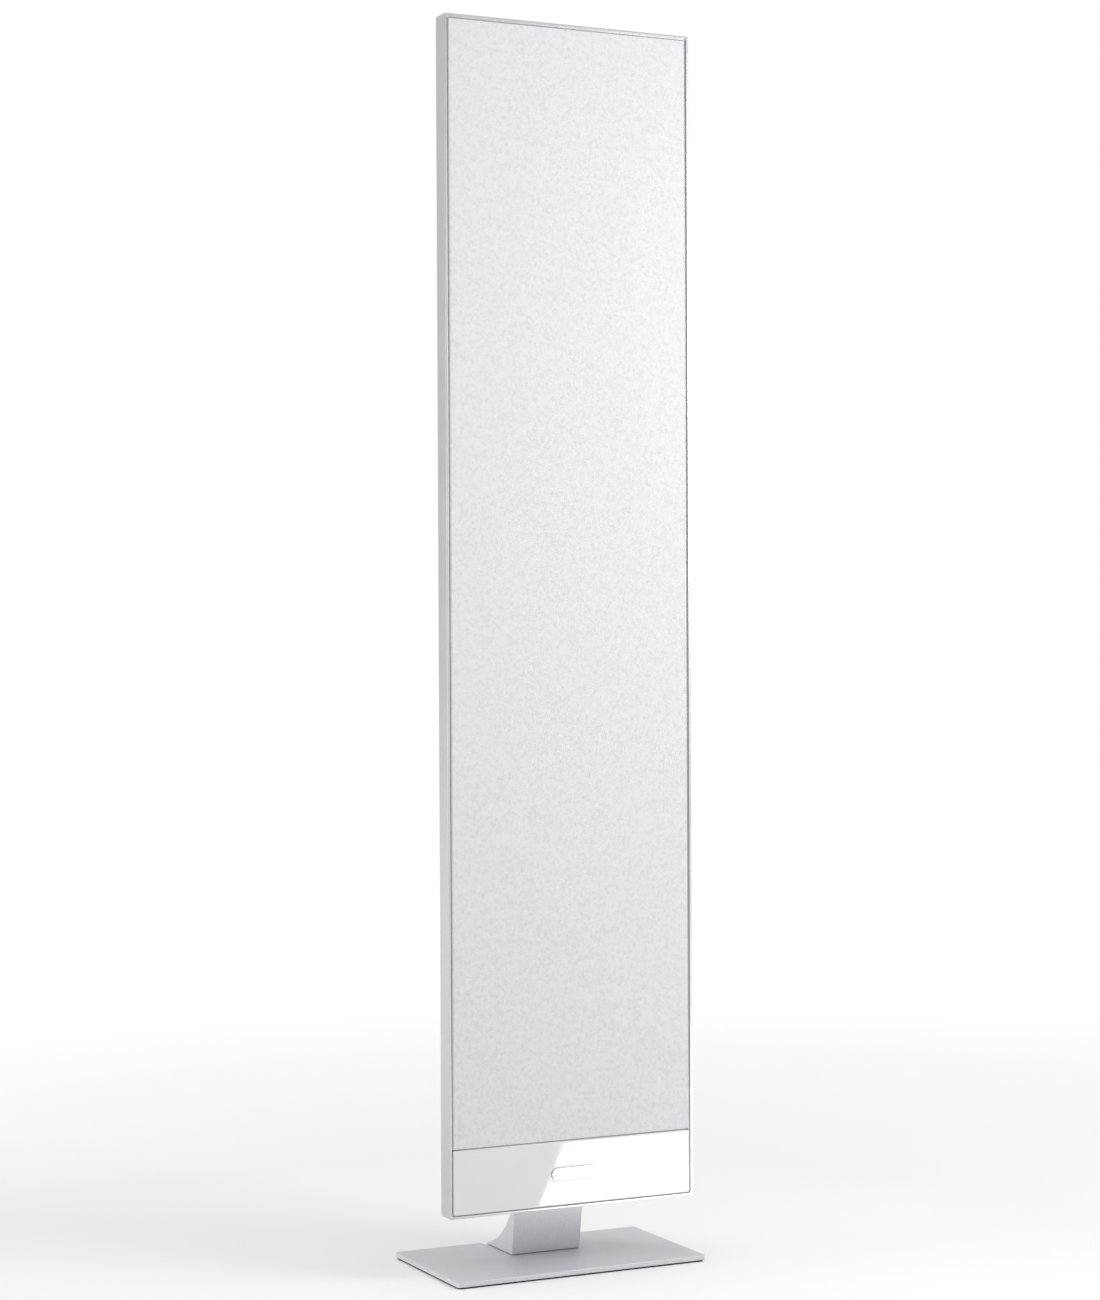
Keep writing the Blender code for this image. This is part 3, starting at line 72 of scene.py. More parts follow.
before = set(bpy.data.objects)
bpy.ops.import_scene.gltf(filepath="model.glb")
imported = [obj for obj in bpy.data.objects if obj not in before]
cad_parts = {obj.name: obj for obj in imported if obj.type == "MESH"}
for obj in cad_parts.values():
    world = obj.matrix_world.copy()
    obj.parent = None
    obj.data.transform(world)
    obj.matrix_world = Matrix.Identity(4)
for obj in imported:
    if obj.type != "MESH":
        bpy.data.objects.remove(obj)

MM = 0.001
MERGE = 1e-6                    # corners nearer than this are one corner
SIDES = 96                      # round a driver
ROUND = 32                      # round a peg's socket or a boss
CAD_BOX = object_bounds()
DRIVERS = ("upper", "lower")


# ---- Settings a user would change ----------------------------------------------------------------

def linear(hex_colour):
    """An sRGB hex colour as linear RGBA."""
    channels = [int(hex_colour[i:i + 2], 16) / 255 for i in (1, 3, 5)]
    return tuple(c / 12.92 if c <= 0.04045 else ((c + 0.055) / 1.055) ** 2.4 for c in channels) + (1.0,)


def length(name, description, millimetres):
    """A length, stored in metres."""
    return FloatProperty(name=name, description=description, default=millimetres * MM, min=0.0,
                         unit="LENGTH", precision=5)


def angle(name, description, degrees):
    return FloatProperty(name=name, description=description, default=math.radians(degrees), subtype="ANGLE")


def power(name, description, watts):
    return FloatProperty(name=name, description=description, default=watts, unit="POWER")


def colour(name, description, hex_colour):
    return FloatVectorProperty(name=name, description=description, default=linear(hex_colour), size=4,
                               subtype="COLOR", min=0.0, max=1.0)


class CabinetSizes(bpy.types.PropertyGroup):
    frame_wall: length("Frame wall", "Width of the frame's front rim", 1.2)
    frame_front_edge: length("Frame front edge", "Rounding of the rim's outer edge", 0.3)
    frame_rear_edge: length("Frame rear edge", "Rounding of the flank's rear edge", 2.0)
    frame_flange: length("Frame flange", "Thickness of the flange at the frame's back", 1.6)
    frame_flange_reach: length("Flange reach", "From the flank to the flange's inner edge", 8.5)
    frame_corner: length("Frame corner", "Radius of the panel's corners", 1.0)
    frame_arris: length("Frame arris", "Breaking of the frame's sharp edges", 0.12)
    fascia_corner: length("Fascia corner", "Radius of the gloss panel's corners", 0.6)
    fascia_edge: length("Fascia edge", "Rounding of the gloss panel's front edges", 0.8)
    fascia_lip: length("Fascia lip", "Height of the lip that fills the gap below the cloth", 0.25)
    badge_edge: length("Badge edge", "Rounding of the badge's front edge", 0.2)
    cloth_edge: length("Cloth edge", "Radius of the fold where the cloth wraps its frame", 0.9)
    cloth_thickness: length("Cloth thickness", "Thickness of the acoustic cloth", 0.35)
    cloth_hollow: length("Cloth hollow", "How far the cloth sinks between the grille's bars", 0.15)
    grille_edge: length("Grille edge", "Rounding of the grille frame's edges", 0.4)
    groove_depth: length("Groove depth", "Depth of the groove round the cloth", 1.1)
    ledge_sides: length("Side ledge", "How far the groove's floor reaches in at the sides", 0.7)
    ledge_foot: length("Foot ledge", "How far it reaches in below the gloss panel", 0.2)
    ledge_back: length("Ledge back", "Depth at which that ledge ends", 4.7)


class CoverSizes(bpy.types.PropertyGroup):
    wall: length("Wall", "Wall of the rear cover", 2.5)
    brim_corner: length("Brim corner", "Radius of the brim's corners", 2.0)
    pan_inset: length("Pan inset", "From the frame's flank to the foot of the raised pan", 9.6)
    pan_taper: length("Pan taper", "How much further in the pan is at the back", 5.0)
    pan_edge: length("Pan edge", "Rounding of the pan's rear edge", 1.2)
    pan_foot: length("Pan foot", "Radius where the pan rises from the brim", 1.4)
    pan_corner: length("Pan corner", "Radius of the pan's corners", 6.0)
    pocket_depth: length("Pocket depth", "Recess that takes the stand's tongue", 6.2)
    pocket_gap: length("Pocket side gap", "Gap beside the tongue", 1.0)
    pocket_top_gap: length("Pocket top gap", "Gap above the tongue", 3.0)
    pocket_edge: length("Pocket edge", "Rounding inside the pocket", 0.8)
    window_lap: length("Window lap", "How far the terminal cup's flange covers the cover", 3.7)
    moulded_edge: length("Moulded edge", "Rounding of the cover's cut edges", 0.4)


class StandSizes(bpy.types.PropertyGroup):
    plate_corner: length("Plate corner", "Radius of the base plate's corners", 2.0)
    plate_edge: length("Plate edge", "Rounding of the base plate's edges", 0.4)
    notch_gap: length("Notch gap", "From the neck to the side of the cable notch", 1.2)
    notch_depth: length("Notch depth", "How far the notch bites into the rear edge", 3.9)
    notch_corner: length("Notch corner", "Radius of the notch's inner corners", 0.6)
    neck_edge: length("Neck edge", "Rounding of the neck's edges", 0.7)
    neck_lean: length("Neck lean", "How far the neck's front leans forward", 3.9)
    neck_lip: length("Neck lip", "Height of the foot's rear edge", 0.6)
    sweep_top: length("Sweep top", "Where the hollow rear curve meets the tongue", 24.0)
    sweep_sag: length("Sweep sag", "How deep the neck's rear curve is hollowed", 4.3)
    tongue_thickness: length("Tongue", "Thickness of the tongue in the cover's pocket", 4.1)


class DriverSizes(bpy.types.PropertyGroup):
    flange: length("Flange", "Thickness of a driver's flange", 2.0)
    body_inset: length("Body inset", "From a basket's flange to its body", 7.6)
    shelf_inset: length("Shelf inset", "From a basket's flange to the seat of its surround", 6.0)
    shelf_depth: length("Shelf depth", "Depth of that seat", 1.1)
    basket_wall: length("Basket wall", "Wall of a basket", 2.5)
    basket_throat: length("Basket throat", "Radius of the opening for the voice coil", 17.0)
    roll: length("Roll", "Width of a surround's flexing part", 6.8)
    lip: length("Lip", "Glued width of a surround", 3.1)
    rubber: length("Rubber", "Thickness of a surround", 0.6)
    cone_wall: length("Cone wall", "Thickness of a cone", 0.7)
    coil_inner: length("Coil former", "Inner radius of a voice coil", 12.0)
    coil_outer: length("Coil outside", "Outer radius of a voice coil", 13.4)
    wire: length("Wire", "Radius of a voice coil's wire", 0.2)
    yoke_plate: length("Yoke plate", "Thickness of a yoke's plate", 2.6)
    spider_wave: length("Spider wave", "Height of a spider's corrugations", 0.22)
    spider_waves: IntProperty(name="Spider waves", description="Corrugations of a spider", default=5, min=1)
    machined_edge: length("Machined edge", "Chamfer on steel and magnet rings", 0.35)
    dome_radius: length("Dome radius", "Radius of the tweeter's dome", 12.5)
    throat_gap: length("Throat gap", "Between the dome and the faceplate", 0.9)
    horn: length("Horn", "Width of the faceplate's flare", 7.0)


class StageSettings(bpy.types.PropertyGroup):
    azimuth: angle("Azimuth", "Camera's turn round the object", -26.084)
    elevation: angle("Elevation", "Camera's height angle", 0.372)
    roll: angle("Roll", "Camera's tilt about its own axis", -0.255)
    distance: length("Distance", "From the camera to the point that it looks at", 1433.8)
    aim: FloatVectorProperty(name="Aim", description="That point, from the middle of the object's box",
                             default=(-12.15 * MM, -28.2 * MM, -0.6 * MM), subtype="TRANSLATION")
    focal_length: FloatProperty(name="Focal length", description="Lens of the camera, in millimetres",
                                default=78.54, min=1.0)
    room: FloatProperty(name="Room light", description="Strength of the light from all round", default=0.66)
    key: power("Key light", "Power of the soft light near the front", 1.4)
    side: power("Side light", "Power of the soft light on the flank", 5.5)
    top: power("Top light", "Power of the soft light overhead", 3.8)
    card: power("Card", "Power of the card that the gloss panel mirrors", 2.1)
    card_size: FloatVectorProperty(name="Card size", description="Width and length of that card",
                                   default=(0.32, 0.342), size=2, subtype="XYZ_LENGTH")
    floor: colour("Floor", "Colour of the floor", "#F7F7F7")


class Tones(bpy.types.PropertyGroup):
    lacquer: colour("Lacquer", "Satin silver lacquer of the frame", "#C9CACC")
    plate_coat: colour("Plate coat", "Silver powder coat of the base plate", "#DADBDE")
    # The neck wears the plate's powder coat, made a touch lighter here: painted light for what falls on the
    # neck's front
    neck_coat: colour("Neck coat", "Silver powder coat of the neck", "#DCDDE0")
    cloth: colour("Cloth", "Threads of the grille cloth", "#DBDCDE")
    acrylic: colour("Acrylic", "Gloss panel below the cloth", "#DFE0E2")
    cover: colour("Cover", "Moulded rear cover", "#D9DADB")


GROUPS = {"cabinet": CabinetSizes, "cover": CoverSizes, "stand": StandSizes, "drivers": DriverSizes,
          "stage": StageSettings, "tones": Tones}


class LoudspeakerSettings(bpy.types.PropertyGroup):
    cabinet: PointerProperty(type=CabinetSizes)
    cover: PointerProperty(type=CoverSizes)
    stand: PointerProperty(type=StandSizes)
    drivers: PointerProperty(type=DriverSizes)
    stage: PointerProperty(type=StageSettings)
    tones: PointerProperty(type=Tones)


# ---- Nodes and finishes --------------------------------------------------------------------------

def node(tree, kind, inputs=None, **settings):
    """Add a node: an input is a value, or a socket to link it from."""
    made = tree.nodes.new(kind)
    for name, value in settings.items():
        setattr(made, name, value)
    for key, value in (inputs or {}).items():
        if isinstance(value, bpy.types.NodeSocket):
            tree.links.new(value, made.inputs[key])
        else:
            made.inputs[key].default_value = value
    return made


def maths(tree, operation, *values):
    return node(tree, "ShaderNodeMath", dict(enumerate(values)), operation=operation).outputs["Value"]


class Finish:
    """A material being built: its tree, its shader and a piece's own coordinates."""

    def __init__(self, name, base, roughness, metallic=0.0, **sockets):
        """The base colour is a hex colour, the name of one of the tones, or RGBA."""
        self.material = bpy.data.materials.new(name)
        self.material.use_nodes = True
        self.tree = self.material.node_tree
        self.shader = self.tree.nodes["Principled BSDF"]
        if isinstance(base, str):
            base = linear(base) if base[0] == "#" else getattr(bpy.context.scene.loudspeaker.tones, base)
        self.base = tuple(base)
        self.set("Base Color", self.base)
        self.set("Roughness", roughness)
        self.set("Metallic", metallic)
        for key, value in sockets.items():
            self.set(key.replace("_", " "), value)
        self.place = self.add("ShaderNodeTexCoord").outputs["Object"]
        self.material.diffuse_color = self.base

    def set(self, key, value):
        if isinstance(value, bpy.types.NodeSocket):
            self.tree.links.new(value, self.shader.inputs[key])
        else:
            self.shader.inputs[key].default_value = value

    def add(self, kind, inputs=None, **settings):
        return node(self.tree, kind, inputs, **settings)

    def maths(self, operation, *values):
        return maths(self.tree, operation, *values)

    def noise(self, size, detail=2.0, stretch=(1.0, 1.0, 1.0)):
        """Noise whose patches are about size across, drawn out along the axes by stretch."""
        scale = [1 / s for s in stretch]
        spot = self.add("ShaderNodeMapping", {"Vector": self.place, "Scale": scale}).outputs["Vector"]
        inputs = {"Vector": spot, "Scale": 1 / size, "Detail": detail}
        return self.add("ShaderNodeTexNoise", inputs).outputs["Fac"]

    def cells(self, size, output):
        return self.add("ShaderNodeTexVoronoi", {"Vector": self.place, "Scale": 1 / size}).outputs[output]

    def waves(self, place, pitch):
        """Sine waves along X and along Z."""
        axes = self.add("ShaderNodeSeparateXYZ", {"Vector": place}).outputs
        return [self.maths("SINE", self.maths("MULTIPLY", axes[axis], math.tau / pitch))
                for axis in ("X", "Z")]

    def range(self, value, low, high, start=0.3, end=0.7):
        return self.add("ShaderNodeMapRange", {"Value": value, "From Min": start, "From Max": end,
                                               "To Min": low, "To Max": high}).outputs["Result"]

    def tint(self, factor, shade):
        """Let the base colour fall to shade times itself where factor is low."""
        dark = tuple(c * shade for c in self.base[:3]) + (1.0,)
        mix = self.add("ShaderNodeMix", {0: self.range(factor, 0.0, 1.0), 6: dark, 7: self.base},
                       data_type="RGBA")
        self.set("Base Color", mix.outputs[2])

    def relief(self, height, depth, strength=1.0):
        self.set("Normal", self.add("ShaderNodeBump", {"Height": height, "Distance": depth,
                                                       "Strength": strength}).outputs["Normal"])


def grained(name, base, roughness, size, shade, metallic=0.0, detail=2.0, stretch=(1.0, 1.0, 1.0),
            depth=0.0, spread=None, patch=None, stain=None, **sockets):
    """A material whose grain, of a size in millimetres, changes its tone and gives it relief.

    Its roughness spreads over a range with the grain, or in patches. Stains of a size of their own
    can change the tone instead of the grain.
    """
    look = Finish(name, base, roughness, metallic, **sockets)
    grain = look.noise(size * MM, detail, stretch)
    look.tint(look.noise(stain * MM) if stain else grain, shade)
    if depth:
        look.relief(grain, depth * MM)
    if spread:
        look.set("Roughness", look.range(look.noise(patch * MM) if patch else grain, *spread))
    return look.material


def moulded(name, base, roughness, grain=0.45, depth=0.02, shade=0.94, **sockets):
    """Injection-moulded plastic: an even spark-eroded grain, and a slight change of tone with it."""
    return grained(name, base, roughness, grain, shade, depth=depth, patch=14,
                   spread=(roughness - 0.05, roughness + 0.05), **sockets)


def machined(name, base, roughness, wear=0.9, size=0.5):
    """Plated or turned metal: fine tool marks, with duller patches where it was handled."""
    return grained(name, base, roughness, size, wear, 1.0, 3.0, depth=0.004, stain=9,
                   spread=(roughness - 0.07, roughness + 0.09))


def powder_coat(name, base):
    """Fine-texture silver powder coat: a sandy relief with bright flake, drawn at 0.7 mm so it shows."""
    look = Finish(name, base, 0.42, 0.3)
    sand = look.noise(0.7 * MM, 3.0)
    flake = look.cells(0.9 * MM, "Color")
    spark = look.add("ShaderNodeSeparateColor", {"Color": flake}).outputs["Red"]
    look.tint(look.maths("ADD", sand, look.range(spark, -0.12, 0.12, 0.0, 1.0)), 0.9)
    look.set("Roughness", look.range(spark, 0.36, 0.48, 0.0, 1.0))
    look.relief(sand, 0.02 * MM)
    return look.material


def acoustic_cloth():
    """Plain-woven polyester: thread crowns over open gaps, drawn at 1.3 mm so that they show."""
    look = Finish("woven_polyester", "cloth", 0.82, Sheen_Weight=0.25, Sheen_Roughness=0.5)
    shift = look.maths("MULTIPLY", look.noise(2.2 * MM), 0.55 * MM)
    moved = look.add("ShaderNodeVectorMath", {0: look.place, 1: shift}, operation="ADD").outputs["Vector"]
    weave = look.range(look.maths("MULTIPLY", *look.waves(moved, 1.3 * MM)), 0.0, 1.0, -1.0, 1.0)
    thread = look.noise(1.6 * MM, 3.0)
    fibre = look.maths("MULTIPLY_ADD", weave, thread, 0.35)
    look.tint(look.range(look.maths("ADD", fibre, thread), 0.3, 0.7, 0.65, 1.25), 0.84)
    look.relief(fibre, 0.08 * MM, 0.8)
    return look.material


def closed_cell_foam():
    """Closed-cell foam tape: small pits all over, their hollows painted darker as painted shade."""
    look = Finish("closed_cell_foam", "#1B1B1C", 0.95)
    pits_and_shade = look.cells(0.5 * MM, "Distance")
    # The pits' hollows are painted darker: painted shade in them
    look.tint(pits_and_shade, 0.55)
    look.relief(pits_and_shade, 0.08 * MM)
    return look.material


def resin_cotton():
    """Cotton gauze dipped in resin: an open weave that shows in its tone."""
    look = Finish("resin_dipped_cotton", "#C08A4A", 0.85, Sheen_Weight=0.2)
    gauze = look.maths("MAXIMUM", *look.waves(look.place, 0.9 * MM))
    threads = look.range(gauze, 0.0, 1.0, -1.0, 1.0)
    look.tint(threads, 0.6)
    look.relief(threads, 0.05 * MM)
    return look.material


def solder_mask():
    """Glass-epoxy board under green solder mask, with the copper showing as paler tracks."""
    look = Finish("solder_mask", "#2F5D3A", 0.35, Coat_Weight=0.4, Coat_Roughness=0.1)
    tracks = look.add("ShaderNodeTexBrick", {"Vector": look.place, "Scale": 1 / (12 * MM),
                                             "Mortar Size": 0.03}).outputs["Fac"]
    look.tint(look.range(tracks, 1.0, 0.0, 0.0, 1.0), 0.62)
    look.relief(tracks, 0.03 * MM)
    return look.material


FINISHES = {
    # Satin silver lacquer on an aluminium extrusion: fine metal flake under a thin clear film
    "silver_frame": partial(grained, "lacquered_aluminium", "lacquer", 0.36, 0.6, 0.96, 0.7, 3.0, depth=0.004,
                            spread=(0.33, 0.4), patch=20, Coat_Weight=0.18, Coat_Roughness=0.2),
    "silver_plate": partial(powder_coat, "powder_coated_plate", "plate_coat"),
    # The plate's powder coat in the neck's lighter tone: painted light on the neck
    "silver_neck": partial(powder_coat, "powder_coated_neck", "neck_coat"),
    "grille_cloth": acoustic_cloth,
    # Polished white acrylic: mirror-smooth, with the faintest waviness in what it reflects
    "gloss_white": partial(grained, "gloss_acrylic", "acrylic", 0.05, 18, 0.985, detail=1.0, depth=0.002,
                           IOR=1.49, Coat_Weight=0.3, Coat_Roughness=0.03),
    # Brushed and clear-anodised aluminium: fine lines along its length
    "badge_metal": partial(grained, "brushed_aluminium", "#B4B6B9", 0.3, 0.25, 0.86, 1.0, 4.0,
                           (40.0, 1.0, 1.0), depth=0.004, spread=(0.24, 0.38), Anisotropic=0.5),
    "grille_plastic": partial(moulded, "moulded_abs_grille", "#E4E5E6", 0.55),
    "baffle_plastic": partial(moulded, "moulded_abs_baffle", "#2A2B2D", 0.6, 0.6, 0.03, 0.8),
    "cover_plastic": partial(moulded, "moulded_abs_cover", "cover", 0.48, 0.8, 0.025, 0.95),
    "faceplate_plastic": partial(moulded, "moulded_abs_faceplate", "#333437", 0.45, 0.4, 0.012, 0.85),
    "terminal_black": partial(moulded, "glass_filled_nylon", "#202123", 0.5, 0.3, 0.012, 0.7),
    "lever_red": partial(moulded, "moulded_lever_red", "#B8262A", 0.28, 1.2, 0.004, 0.92, Coat_Weight=0.2),
    "lever_black": partial(moulded, "moulded_lever_black", "#141416", 0.28, 1.2, 0.004, 0.8,
                           Coat_Weight=0.2),
    "rubber_pad": partial(moulded, "neoprene_sheet", "#2B2C2E", 0.85, 0.7, 0.03, 0.8),
    "capacitor_film": partial(moulded, "polyester_film_case", "#C7A23A", 0.3, 2.0, 0.01, 0.9,
                              Coat_Weight=0.3),
    "lead_insulation": partial(moulded, "soft_pvc", "#26272A", 0.45, 1.5, 0.01, 0.85),
    "foam_seal": closed_cell_foam,
    # Die-cast alloy under black electro-coat: a pebbled skin
    "basket_alloy": partial(grained, "coated_cast_alloy", "#3A3B3E", 0.5, 0.9, 0.75, 0.6, 3.0, depth=0.03,
                            spread=(0.42, 0.6), patch=7),
    "motor_steel": partial(machined, "zinc_plated_steel", "#9A9C9E", 0.33),
    "magnet": partial(machined, "nickel_plated_magnet", "#6E6F72", 0.3, 0.85),
    "screw_zinc": partial(machined, "zinc_plated_screw", "#A9ABAE", 0.28, 0.85, 0.3),
    "screw_black": partial(machined, "black_oxide_screw", "#26272A", 0.42, 0.8, 0.3),
    "dome_alloy": partial(machined, "anodised_aluminium_dome", "#C8CACD", 0.24, 0.94, 0.4),
    # Pressed paper pulp under a clear damping coat: long pale fibres in a soft grey
    "cone_fibre": partial(grained, "coated_paper_cone", "#9EA1A5", 0.5, 0.8, 0.78, 0.0, 5.0, (3.0, 1.0, 1.0),
                          depth=0.03, Coat_Weight=0.15, Coat_Roughness=0.3),
    "surround_rubber": partial(grained, "butyl_rubber", "#161617", 0.55, 3.0, 0.7, detail=3.0,
                               spread=(0.48, 0.66), Sheen_Weight=0.1),
    "spider_cloth": resin_cotton,
    # Copper wire under a clear amber enamel
    "coil_copper": partial(grained, "enamelled_copper", "#B4703A", 0.3, 4, 0.8, 1.0, 3.0, Coat_Weight=0.5,
                           Coat_Roughness=0.15),
    "circuit_board": solder_mask,
}


def finish_of(slot):
    """The material of a record slot, made the first time that it is asked for."""
    key = "slot:" + slot
    for material in bpy.data.materials:
        if material.get("made_for") == key:
            return material
    material = FINISHES[slot]()
    material["made_for"] = key
    return material


# ---- Meshes --------------------------------------------------------------------------------------

def link(made):
    """Put an object in the scene."""
    bpy.context.scene.collection.objects.link(made)
    return made


def new_piece(name, work):
    """An object for a closed bmesh: its doubles merged and its faces turned outwards."""
    bmesh.ops.remove_doubles(work, verts=work.verts, dist=MERGE)
    bmesh.ops.recalc_face_normals(work, faces=work.faces)
    mesh = bpy.data.meshes.new(name)
    work.to_mesh(mesh)
    work.free()
    mesh.shade_smooth()
    return link(bpy.data.objects.new(name, mesh))


def flatten(piece):
    """Apply a piece's modifiers to its mesh."""
    plain = piece.evaluated_get(bpy.context.evaluated_depsgraph_get())
    made = bpy.data.meshes.new_from_object(plain)
    piece.modifiers.clear()
    old = piece.data
    piece.data = made
    bpy.data.meshes.remove(old)
    piece.data.name = piece.name
    return piece


def soften(piece, width, segments=3, angle=32):
    """Round the edges that turn by more than an angle, with the flat faces left flat."""
    modifier = piece.modifiers.new("soft edges", "BEVEL")
    modifier.width = width
    modifier.segments = segments
    modifier.limit_method = "ANGLE"
    modifier.angle_limit = math.radians(angle)
    modifier.harden_normals = True
    modifier.miter_outer = "MITER_ARC"
    return flatten(piece)


def combine(piece, other, operation="DIFFERENCE"):
    """Cut another solid out of a piece, or weld it on, and throw that solid away."""
    modifier = piece.modifiers.new("combine", "BOOLEAN")
    modifier.operation = operation
    modifier.object = other
    flatten(piece)
    bpy.data.objects.remove(other)
    return piece


def settle(piece, body, slot, *nodes):
    """Give a finished piece its finish, its body and its slot, and hide the nodes that it stands for."""
    piece.data.materials.clear()
    piece.data.materials.append(finish_of(slot))
    if body:
        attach(piece, body)
    if nodes:
        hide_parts(*nodes)
    return piece


def carry(slot, *nodes):
    """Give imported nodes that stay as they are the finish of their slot."""
    for name in nodes:
        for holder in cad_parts[name].material_slots:
            holder.material = finish_of(slot)


def arc(centre, radius, start, end, steps):
    """Points on an arc, both ends included, with its angles in degrees."""
    turns = [math.radians(start + (end - start) * i / steps) for i in range(steps + 1)]
    return [(centre[0] + radius * math.cos(t), centre[1] + radius * math.sin(t)) for t in turns]


def rounded_rectangle(half_width, low, high, radius, steps=8):
    """Corner points (x, z), counter-clockwise seen from the front."""
    points = []
    for x, z, angle in ((half_width, high, 0), (-half_width, high, 90), (-half_width, low, 180),
                        (half_width, low, 270)):
        centre = (x - math.copysign(radius, x), z - radius if z == high else z + radius)
        points += arc(centre, radius, angle, angle + 90, steps)
    return points


def skin(work, loops, closed=False, capped=True):
    """Faces from loop to loop of (x, y, z) points, with the ends capped or joined."""
    rings = [[work.verts.new(point) for point in loop] for loop in loops]
    for first, second in zip(rings, rings[1:] + (rings[:1] if closed else [])):
        for i in range(len(first)):
            j = (i + 1) % len(first)
            work.faces.new((first[i], first[j], second[j], second[i]))
    if capped and not closed:
        work.faces.new(rings[0])
        work.faces.new(rings[-1])
    return rings


def skinned(name, loops, closed=False):
    """A piece from loop to loop."""
    work = bmesh.new()
    skin(work, loops, closed)
    return new_piece(name, work)


def panel_loops(box, sections):
    """Loops at (inset, depth, corner) inside a box's outline, with the depth from the box's front."""
    low, high = box
    return [[(x, low.y + depth, z)
             for x, z in rounded_rectangle(high.x - inset, low.z + inset, high.z - inset, corner)]
            for inset, depth, corner in sections]


def slab(name, outline, near, far):
    """An outline of (x, z) drawn out along Y."""
    return skinned(name, [[(x, y, z) for x, z in outline] for y in (near, far)])


def block(name, low, high):
    """A box between two corners."""
    return slab(name, [(low[0], low[2]), (high[0], low[2]), (high[0], high[2]), (low[0], high[2])],
                low[1], high[1])


def spin(work, profile, centre, sides=SIDES, axis="Y"):
    """Turn an outline of (radius, place along the axis) round a line through centre."""
    closed = all(radius > 0 for radius, _ in profile)
    rings = []
    for radius, along in profile:
        ring = []
        for i in range(sides if radius > 0 else 1):
            u, v = radius * math.cos(math.tau * i / sides), radius * math.sin(math.tau * i / sides)
            spot = {"X": (along, u, v), "Y": (u, along, v), "Z": (u, v, along)}[axis]
            ring.append(work.verts.new([c + s for c, s in zip(centre, spot)]))
        rings.append(ring)
    for first, second in zip(rings, rings[1:] + (rings[:1] if closed else [])):
        for i in range(sides):
            j = (i + 1) % sides
            corners = (first[i % len(first)], first[j % len(first)],
                       second[j % len(second)], second[i % len(second)])
            corners = list(dict.fromkeys(corners))
            if len(corners) > 2:
                work.faces.new(corners)


def turned(name, profile, centre, edge=0.0, sides=SIDES):
    """A turned piece round a line along Y through (x, z), with its edges rounded."""
    work = bmesh.new()
    spin(work, profile, (centre[0], 0.0, centre[1]), sides)
    piece = new_piece(name, work)
    return soften(piece, edge) if edge else piece


def ring(box, inner, outer):
    """The outline of a plain ring as deep as a box, for turning."""
    low, high = box
    return [(inner, low.y), (outer, low.y), (outer, high.y), (inner, high.y)]


def dome(radius, rise, rim, steps):
    """The line of a dome from its tip to its rim, as (radius, depth)."""
    turns = [math.pi / 2 * i / steps for i in range(1, steps + 1)]
    return [(0.0, rim - rise)] + [(radius * math.sin(t), rim - rise * math.cos(t)) for t in turns]


def band(middle, thickness):
    """A closed outline of even thickness round a middle line of (radius, depth)."""
    half = thickness / 2
    return [(r, d - half) for r, d in middle] + [(r, d + half) for r, d in reversed(middle)]


def copied(name, source, edge, segments=3):
    """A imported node's shape, merged, with its triangles paired where they are flat, and edges softened."""
    work = bmesh.new()
    work.from_mesh(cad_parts[source].data)
    bmesh.ops.remove_doubles(work, verts=work.verts, dist=MERGE)
    bmesh.ops.join_triangles(work, faces=work.faces, angle_face_threshold=math.radians(1),
                             angle_shape_threshold=math.pi)
    return soften(new_piece(name, work), edge, segments)


def middle(node_name):
    """The (x, z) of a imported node's middle."""
    low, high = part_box(node_name)
    return ((low.x + high.x) / 2, (low.z + high.z) / 2)


# ---- Geometry Nodes ------------------------------------------------------------------------------

def new_tree(name, sockets):
    """A geometry tree with named inputs: its group-input node and its output are returned with it."""
    tree = bpy.data.node_groups.new(name, "GeometryNodeTree")
    face = tree.interface
    face.new_socket("Geometry", in_out="INPUT", socket_type="NodeSocketGeometry")
    for label, kind in sockets.items():
        face.new_socket(label, in_out="INPUT", socket_type="NodeSocket" + kind)
    face.new_socket("Geometry", in_out="OUTPUT", socket_type="NodeSocketGeometry")
    return tree, node(tree, "NodeGroupInput").outputs


def end_tree(tree, geometry, sockets):
    """Turn the instances into a mesh, give it its finish and send it out."""
    real = node(tree, "GeometryNodeRealizeInstances", {"Geometry": geometry}).outputs["Geometry"]
    painted = node(tree, "GeometryNodeSetMaterial", {"Geometry": real, "Material": sockets["Finish"]})
    node(tree, "NodeGroupOutput", {"Geometry": painted.outputs["Geometry"]})
    return tree


def circle(tree, resolution, radius):
    """A circle as a curve, for a path or for what runs along one."""
    inputs = {"Resolution": resolution, "Radius": radius}
    return node(tree, "GeometryNodeCurvePrimitiveCircle", inputs, mode="RADIUS").outputs["Curve"]


def swept(tree, curve, profile, capped=True):
    """A mesh made by drawing a profile along a curve."""
    inputs = {"Curve": curve, "Profile Curve": profile, "Fill Caps": capped}
    return node(tree, "GeometryNodeCurveToMesh", inputs).outputs["Mesh"]


